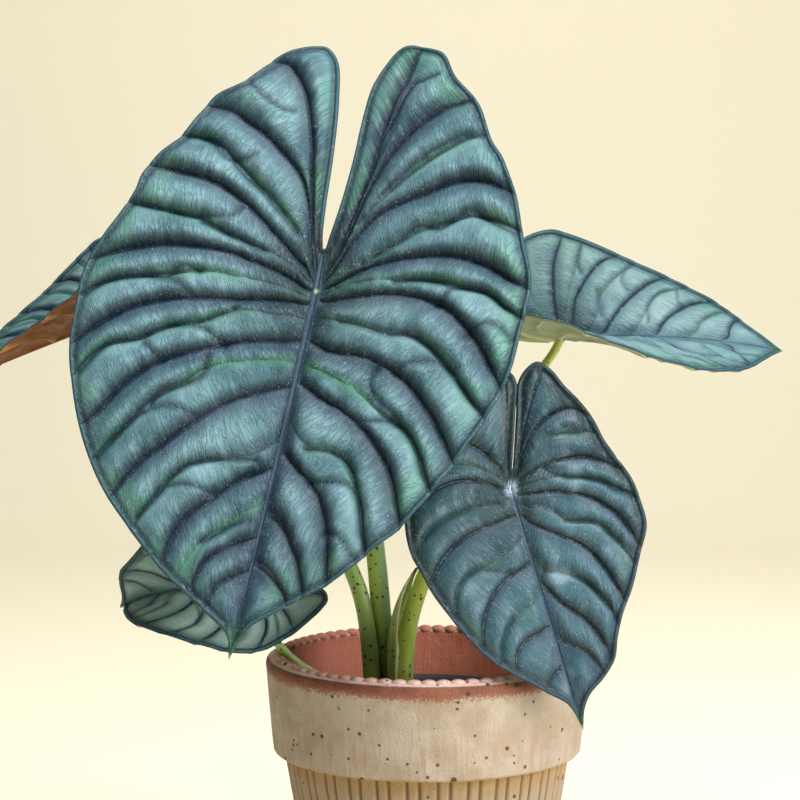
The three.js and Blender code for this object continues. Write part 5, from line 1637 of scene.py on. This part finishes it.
@dataclass(frozen=True)
class SilverLeaf:
    """A living aroid leaf: waxy skin over silvery air-filled cells, puckered between sunken veins.

    The air under the skin scatters light, so the puffed panels look like dull silver with a wide soft
    highlight, and the veins, which hold none, stay dark. Shade is painted on the steep tipward side of
    each panel, in the cuts of the veins and creases, in the wrinkles, in the groove inside the rim and
    round the heart, and a painted highlight runs along the rim's crest. The size is that of its panels
    beside those of the large leaf.
    """

    name: str
    size: float = 1.0
    silver: str = "#678c94"
    middle: str = "#335963"
    slate: str = "#1d3649"
    flank_shade: str = "#0c2634"
    crease: str = "#0b2234"
    green: str = "#43805a"
    rim: str = "#17363e"
    rim_highlight: str = "#3d6b74"
    vein_line: str = "#0b2234"
    bloom: float = 0.0
    heart: str = "#8db877"
    heart_reach: float = 1.7
    sinus_reach: float = 34
    underside: str = "#7d8c6a"
    ribs: str = "#a3a87c"
    roughness: float = 0.5

    BLOOM = "#8ea6bb"
    DUST = "#b9cfd2"
    TIP = "#234f35"
    POINT = "#8fa874"
    SHADE = "#11272b"

    def make(self) -> bpy.types.Material:
        """Makes the material."""
        surface = Surface(self.name)
        surface.add_mottle("Clouds", 24)
        surface.add_mottle("Patches", 26, 2.0)
        surface.add_mottle("Grain", 0.8, 3.0)
        # Crepe wrinkles, about 2 mm apart and 10 mm long, run across the veins and lean towards the tip.
        pleat = {"X": surface.value("Pleat"), "Y": surface.value("LobeVein")}
        net = add_node(surface.tree, "ShaderNodeCombineXYZ", {}, pleat)
        stretched = {"Scale": (0.5, 0.11, 1)}
        drawn = add_node(surface.tree, "ShaderNodeMapping", stretched, {"Vector": net.outputs[0]})
        texture = {"Scale": 0.85, "Detail": 3.0, "Roughness": 0.6}
        waves = add_node(surface.tree, "ShaderNodeTexNoise", texture, {"Vector": drawn.outputs[0]})
        from_middle = {"operation": "SUBTRACT", 1: 0.5}
        level = add_node(surface.tree, "ShaderNodeMath", from_middle, {0: waves.outputs["Fac"]})
        fold = add_node(surface.tree, "ShaderNodeMath", {"operation": "ABSOLUTE"}, {0: level.outputs[0]})
        surface.values["Wrinkle"] = fold.outputs[0]
        k = self.size
        coats = (
            Coat(self.silver, (("Clouds", 0.25, 0.7),)),
            Coat(self.slate, (("LobeVein", 9 * k, 1.2 * k),), 0.85),
            Coat(self.slate, (("Midrib", 5.5, 1.5),), 0.7),
            # The tipward part of each panel and the slope just above the vein below it are darkened: painted
            # shade on the steep side, over the vein's own dark band near it.
            Coat(self.flank_shade, (("Panel", 0.55, 0.98),), 0.6),
            Coat(self.flank_shade, (("TipVein", 6.0 * k, 0.5 * k),), 0.9),
            Coat(self.green, (("Rim", 18 * k, 2.5), ("Clouds", 0.46, 0.62)), 0.5),
            Coat(self.green, (("FaintVein", 4 * k, 0.8 * k), ("Patches", 0.42, 0.56)), 0.45),
            # Painted shade in the cuts of the faint veins, in the creases and in the folds of the wrinkles.
            Coat(self.flank_shade, (("FaintVein", 1.4 * k, 0.2 * k), ("Along", 30 * k, 62 * k)), 0.7),
            Coat(self.flank_shade, (("Crease", 3.4 * k, 0.3 * k),), 0.5),
            Coat(self.flank_shade, (("Crease", 1.3 * k, 0.1 * k),), 0.7),
            Coat(self.flank_shade, (("Wrinkle", 0.03, 0.0), ("Panel", 0.0, 0.7)), 0.24),
            Coat(self.BLOOM, (("Patches", 0.56, 0.68), ("Clouds", 0.44, 0.6)), self.bloom),
            # Near-black along the strong veins: their own dark colour, deepened as painted shade in their
            # cuts.
            Coat(self.crease, (("Vein", 2.0 * k, 0.4 * k),), 0.95),
            # A line down the middle of each strong vein in the vein_line colour; where that colour is pale it
            # is a painted highlight on the vein's ridge.
            Coat(self.vein_line, (("Vein", 0.35, 0.12), ("Grain", 0.42, 0.55)), 0.5),
            # Painted shade in the groove inside the rim.
            Coat(self.flank_shade, (("Rim", 5.0, 2.6),), 0.65),
            Coat(self.rim, (("Rim", 2.5, 1.9),)),
            # Painted highlight along the crest of the rim's bead.
            Coat(self.rim_highlight, (("Rim", 1.8, 1.2),), 0.4),
            # Painted shade along the very edge, where the rim rolls under.
            Coat(self.crease, (("Rim", 0.6, 0.15),), 0.7),
            Coat(self.slate, (("Midrib", 1.6, 0.5),), 0.85),
            Coat(self.TIP, (("Tip", 20 * k, 7 * k),), 0.8),
            Coat(self.POINT, (("Tip", 3.0, 1.0),), 0.8),
            Coat(self.SHADE, (("Heart", 44 * k, 9 * k), ("Midrib", 0.7, 1.4)), 0.6),
            Coat(self.SHADE, (("Heart", self.sinus_reach, self.sinus_reach * 0.5), ("Rim", 9.0, 2.6)), 0.8),
            Coat(self.DUST, (("Grain", 0.6, 0.72),), 0.3),
            Coat(self.heart, (("Heart", self.heart_reach, 0.4), ("Grain", 0.36, 0.52))),
            Coat(self.underside, (("Under", 0.4, 0.6),)),
            Coat(self.ribs, (("Under", 0.4, 0.6), ("Vein", 1.8, 0.4))),
        )
        ripples = (
            Ripple((("Wrinkle", 0.0, 0.06), ("Panel", 0.0, 0.6)), 0.2 * k),
            Ripple((("Wrinkle", 0.0, 0.06),), 0.07 * k),
            Ripple((("Grain", 0.3, 0.7),), 0.04),
        )
        gloss = {"Roughness": self.roughness, "IOR": 1.4}
        return surface.dress(self.middle, gloss, coats, ripples)


@dataclass(frozen=True)
class SpottedStalk:
    """A living petiole: smooth green skin with a bluish wax bloom, and near-black fuzzy spots.

    A pale sheen is painted down one side over the bloom. The wax gives it a soft satin light, and the foot,
    which is shaded by the pot, is painted a dark olive.
    """

    name: str
    green: str = "#94bb52"
    light: str = "#aecb66"
    bloom: str = "#c3d49a"
    side_sheen: float = 0.6

    OLIVE = "#5f7a26"
    SHEATH = "#b9ca80"
    CREAM = "#c3cb92"
    BROWN = "#5a3a24"
    SPOT = "#141c10"

    def make(self) -> bpy.types.Material:
        """Makes the material."""
        surface = Surface(self.name)
        surface.add_mottle("Clouds", 16, stretch=(1, 1, 0.4))
        surface.add_mottle("Grain", 1.2, 3.0)
        surface.add_spots("Freckle", 2.4, 0.9, 1.9)
        surface.add_spots("Blot", 7.0, 1.3, 2.2)
        coats = (
            Coat(self.light, (("Clouds", 0.4, 0.62),)),
            # Painted sheen: the bloom colour laid down one side of the stalk only.
            Coat(self.bloom, (("Left", -0.1, -0.8),), self.side_sheen),
            Coat(self.SHEATH, (("Sheath", 0.4, 0.6),), 0.8),
            # Painted shade: the foot, down in the pot, darkens to olive.
            Coat(self.OLIVE, (("Along", 64.0, 32.0),), 0.7),
            Coat(self.SPOT, (("Freckle", 0.03, -0.03),), 0.85),
            Coat(self.SPOT, (("Blot", 0.02, -0.01),), 0.95),
            Coat(self.CREAM, (("Margin", 0.2, 0.8),), 0.9),
            Coat(self.BROWN, (("Brown", 0.3, 1.0),)),
        )
        ripples = (Ripple((("Clouds", 0.3, 0.7),), 0.25), Ripple((("Grain", 0.3, 0.7),), 0.04))
        gloss = {"Roughness": 0.4, "IOR": 1.43, "Sheen Weight": 0.1}
        return surface.dress(self.green, gloss, coats, ripples)


@dataclass(frozen=True)
class WashedTerracotta:
    """Thrown earthenware under a thin cream wash, wiped off the rim and darker brown in the grooves.

    The wash is chalky and matt, runs down in faint streaks and shows iron specks, and the bare clay
    inside keeps the fine upright lines of the tool that smoothed it. Under the collar a warm ochre glow is
    painted, as light thrown back into its shade.
    """

    name: str = "cream_washed_terracotta"
    cream: str = "#9a8a76"
    pale: str = "#a89b8c"
    streak: str = "#9e7a60"
    rust: str = "#7f442a"
    dark_rust: str = "#5c2c1a"
    rim: str = "#cdb0a5"
    rim_shade: str = "#a87b6e"
    ochre_bounce: str = "#94733a"
    groove: str = "#674a2a"
    clay: str = "#ab634d"
    clay_line: str = "#9c5442"
    speck: str = "#43281a"

    def make(self) -> bpy.types.Material:
        """Makes the material."""
        surface = Surface(self.name)
        surface.add_mottle("Clouds", 16, 5.0)
        surface.add_mottle("Grain", 1.0, 3.0)
        surface.add_mottle("Streaks", 2.2, 2.0, (1, 1, 0.05))
        surface.add_spots("Fleck", 4.0, 1.0, 2.0)
        surface.add_spots("Speck", 12.0, 2.0, 1.5)
        ragged = surface.value("FromRim")
        for name, reach in (("Clouds", 3.0), ("Grain", 8.0)):
            settings = {"operation": "MULTIPLY_ADD", 1: reach}
            links = {0: surface.values[name], 2: ragged}
            ragged = add_node(surface.tree, "ShaderNodeMath", settings, links).outputs[0]
        surface.values["Ragged"] = ragged
        coats = (
            Coat(self.pale, (("Clouds", 0.36, 0.62),)),
            Coat(self.streak, (("Streaks", 0.5, 0.68), ("FromRim", 10.0, 32.0)), 0.45),
            Coat(self.rust, (("Ragged", 13.2, 10.2),), 0.9),
            Coat(self.dark_rust, (("Ragged", 12.0, 7.0), ("Clouds", 0.4, 0.6)), 0.7),
            Coat(self.dark_rust, (("Ragged", 13.0, 9.0), ("Grain", 0.48, 0.62)), 0.6),
            # Painted reflected light: a warm ochre glow along the collar's foot and over the top of the body
            # in the collar's shade, until the cream comes back lower down.
            Coat(self.ochre_bounce, (("FromRim", 39.4, 40.8),), 0.75),
            Coat(self.cream, (("FromRim", 43.0, 54.0),), 0.85),
            Coat(self.groove, (("Groove", 0.12, 0.8),), 0.8),
            Coat(self.rim, (("RimTop", 0.2, 0.9),)),
            Coat(self.rim, (("Bead", 0.4, 0.6),)),
            Coat(self.rim_shade, (("RimTop", 0.1, 0.9), ("Clouds", 0.5, 0.66)), 0.6),
            Coat(self.rim_shade, (("Bead", 0.4, 0.6), ("Clouds", 0.5, 0.66)), 0.6),
            Coat(self.rust, (("Dip", 0.4, 1.0),), 0.5),
            Coat(self.clay, (("Inward", 0.3, 0.8),), 0.9),
            Coat(self.speck, (("Fleck", 0.02, -0.02),), 0.9),
            Coat(self.speck, (("Speck", 0.015, -0.015),), 0.95),
            Coat(self.clay, (("Bare", 0.4, 0.6),)),
            Coat(self.clay_line, (("Bare", 0.4, 0.6), ("Streaks", 0.46, 0.6)), 0.35),
        )
        ripples = (
            Ripple((("Clouds", 0.3, 0.7),), 0.3),
            Ripple((("Grain", 0.3, 0.7),), 0.08),
            Ripple((("Streaks", 0.4, 0.6),), 0.06),
        )
        return surface.dress(self.cream, {"Roughness": 0.75, "IOR": 1.5}, coats, ripples)


@dataclass(frozen=True)
class BlackPlastic:
    """Thin polypropylene, vacuum formed: smooth and blue-black, with a dull gloss and a little soil on it."""

    name: str = "black_polypropylene"
    black: str = "#1f2530"
    dust: str = "#4a4239"

    def make(self) -> bpy.types.Material:
        """Makes the material."""
        surface = Surface(self.name)
        surface.add_mottle("Clouds", 9)
        surface.add_mottle("Grain", 0.7)
        coats = (Coat(self.dust, (("Clouds", 0.5, 0.72), ("Grain", 0.4, 0.6)), 0.6),)
        ripples = (Ripple((("Grain", 0.3, 0.7),), 0.03),)
        return surface.dress(self.black, {"Roughness": 0.6, "IOR": 1.49}, coats, ripples)


@dataclass(frozen=True)
class BarkMix:
    """Peat and composted bark: matt, dark and damp, with lighter broken chips."""

    name: str = "composted_bark"
    peat: str = "#2b1e15"
    bark: str = "#5d412b"
    chip: str = "#8a6647"

    def make(self) -> bpy.types.Material:
        """Makes the material."""
        surface = Surface(self.name)
        surface.add_mottle("Crumbs", 2.4, 5.0)
        coats = (
            Coat(self.bark, (("Crumbs", 0.4, 0.65),)),
            Coat(self.chip, (("Chip", 0.1, 1.0),), 0.7),
        )
        return surface.dress(self.peat, {"Roughness": 0.95}, coats, (Ripple((("Crumbs", 0.3, 0.7),), 0.6),))


@dataclass(frozen=True)
class Lamp:
    """A soft square lamp, with places and size in metres and power in watts."""

    name: str
    place: Place
    aim: Place
    size: float
    power: float

    def hang(self) -> None:
        """Hangs the lamp in the scene, facing its aim."""
        light = bpy.data.lights.new(self.name, "AREA")
        light.size, light.energy = self.size, self.power
        stand = bpy.data.objects.new(self.name, light)
        stand.location = self.place
        stand.rotation_euler = (Vector(self.aim) - Vector(self.place)).to_track_quat("-Z", "Y").to_euler()
        bpy.context.scene.collection.objects.link(stand)


@dataclass(frozen=True)
class Studio:
    """A plain pale floor under soft light, and the camera at the photograph's angle."""

    eye: Place = (-11.7, -955.7, 306.6)
    pitch: float = 4.1
    lens: float = 100
    sensor: float = 36
    sweep: float = 900
    floor_near: float = -2500
    floor_far: float = 1200
    floor_reach: float = 3500
    floor_drop: float = 0.5
    wall_top: float = 3000
    floor_colour: str = "#f8f0d6"
    sky_colour: str = "#f4f4f2"
    sky_strength: float = 0.17
    lamps: tuple[Lamp, ...] = (
        Lamp("top_lamp", (0.15, -0.5, 1.5), (0, 0, 0.2), 0.8, 26),
        Lamp("side_lamp", (1.2, -0.8, 0.7), (0, 0, 0.2), 1.0, 27),
        Lamp("backdrop_lamp", (0, 0.7, 1.9), (0, 2.1, 0.9), 1.2, 10),
    )

    def add_camera(self) -> None:
        """Stands the camera in front of the plant and takes it as the scene's own."""
        camera = bpy.data.cameras.new("front_camera")
        camera.lens, camera.sensor_width = self.lens, self.sensor
        camera.clip_end = 20
        stand = bpy.data.objects.new("front_camera", camera)
        stand.location = Vector(self.eye) * METRES
        stand.rotation_euler = (math.radians(90 - self.pitch), 0, 0)
        bpy.context.scene.collection.objects.link(stand)
        bpy.context.scene.camera = stand

    def add_floor(self) -> None:
        """Lays the floor under the pot, swept up into a plain wall behind it."""
        turn = np.radians(np.linspace(0, 90, 24))
        y = [self.floor_near, *(self.floor_far + self.sweep * np.sin(turn)), self.floor_far + self.sweep]
        z = [-self.floor_drop, *(self.sweep * (1 - np.cos(turn)) - self.floor_drop), self.wall_top]
        rows = [[[x, b, c] for x in (-self.floor_reach, self.floor_reach)] for b, c in zip(y, z)]
        skin = Skin()
        skin.grid(skin.add(np.array(rows)))
        floor = skin.object("floor")
        floor.data.materials.append(Surface("pale_floor").dress(self.floor_colour, {"Roughness": 0.9}))

    def build(self) -> None:
        """Sets up the camera, the lamps, the sky and the floor."""
        self.add_camera()
        bpy.context.scene.view_settings.view_transform = "Standard"
        for lamp in self.lamps:
            lamp.hang()
        world = bpy.data.worlds.new("soft_sky")
        bpy.context.scene.world = world
        world.use_nodes = True
        sky = world.node_tree.nodes["Background"]
        sky.inputs["Color"].default_value = linear(self.sky_colour)
        sky.inputs["Strength"].default_value = self.sky_strength
        self.add_floor()


LEAF_FINISHES = {
    "front": SilverLeaf("silver_blue_leaf"),
    # On the dark slate leaf the vein line is pale: a painted highlight along the ridge of each vein.
    "right": SilverLeaf(
        "dark_slate_leaf", size=0.6, silver="#41646f", middle="#2b4955", slate="#2a4254", flank_shade="#1a303c",
        crease="#0c1822", rim="#182a36", rim_highlight="#3a5767", vein_line="#5f7b8a", bloom=0.35,
        heart="#9fb3c8", heart_reach=4.5, sinus_reach=70, green="#365f4e", roughness=0.4,
    ),
    "far": SilverLeaf(
        "pale_silver_leaf", size=0.6, silver="#738f90", middle="#51747d", slate="#44646f", flank_shade="#304c58"
    ),
    "left": SilverLeaf(
        "teal_grey_leaf", size=0.45, silver="#5c8580", middle="#416668", slate="#314c56", flank_shade="#1c3843",
        underside="#74431f", ribs="#a0713f",
    ),
    # The low leaf's colours are lighter: painted light that makes up for the front leaf's shade over it.
    "low": SilverLeaf(
        "dull_green_leaf", size=0.4, silver="#93aea7", middle="#7a9993", slate="#5f7a7e", flank_shade="#435c66"
    ),
}
STALK_FINISHES = {
    "front": SpottedStalk("olive_petiole", green="#84a640", light="#9dbb50", bloom="#93b594", side_sheen=0.85),
    "right": SpottedStalk("yellow_green_petiole", green="#a3b93e", light="#b9cc55", side_sheen=0.15),
    "far": SpottedStalk("pale_green_petiole", green="#a9ba50", light="#c6cf6c", side_sheen=0.2),
    "left": SpottedStalk("green_petiole", green="#8cb653", light="#a9c96c"),
    "low": SpottedStalk("young_green_petiole", green="#7ea84c", light="#9cbd62"),
}


def main() -> None:
    """Builds the plant, its pots and the studio, and reports each piece."""
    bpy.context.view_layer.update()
    Studio().build()
    for form in LEAVES:
        node = f"{form.name}_leaf"
        blade = LeafBlade(form).build()
        place_piece(blade, f"{node}_blade", LEAF_FINISHES[form.name].make())
        place_piece(LeafStalk(form).build(), f"{node}_stalk", STALK_FINISHES[form.name].make())
    place_piece(TerracottaPot().build(), "terracotta_pot", WashedTerracotta().make())
    place_piece(GrowersPot().build(), "growers_pot", BlackPlastic().make())
    place_piece(PottingMix().build(), "potting_mix", BarkMix().make())
    bpy.context.view_layer.update()


if __name__ == "__main__":
    logging.basicConfig(level=logging.INFO, format="%(name)s: %(message)s")
    main()
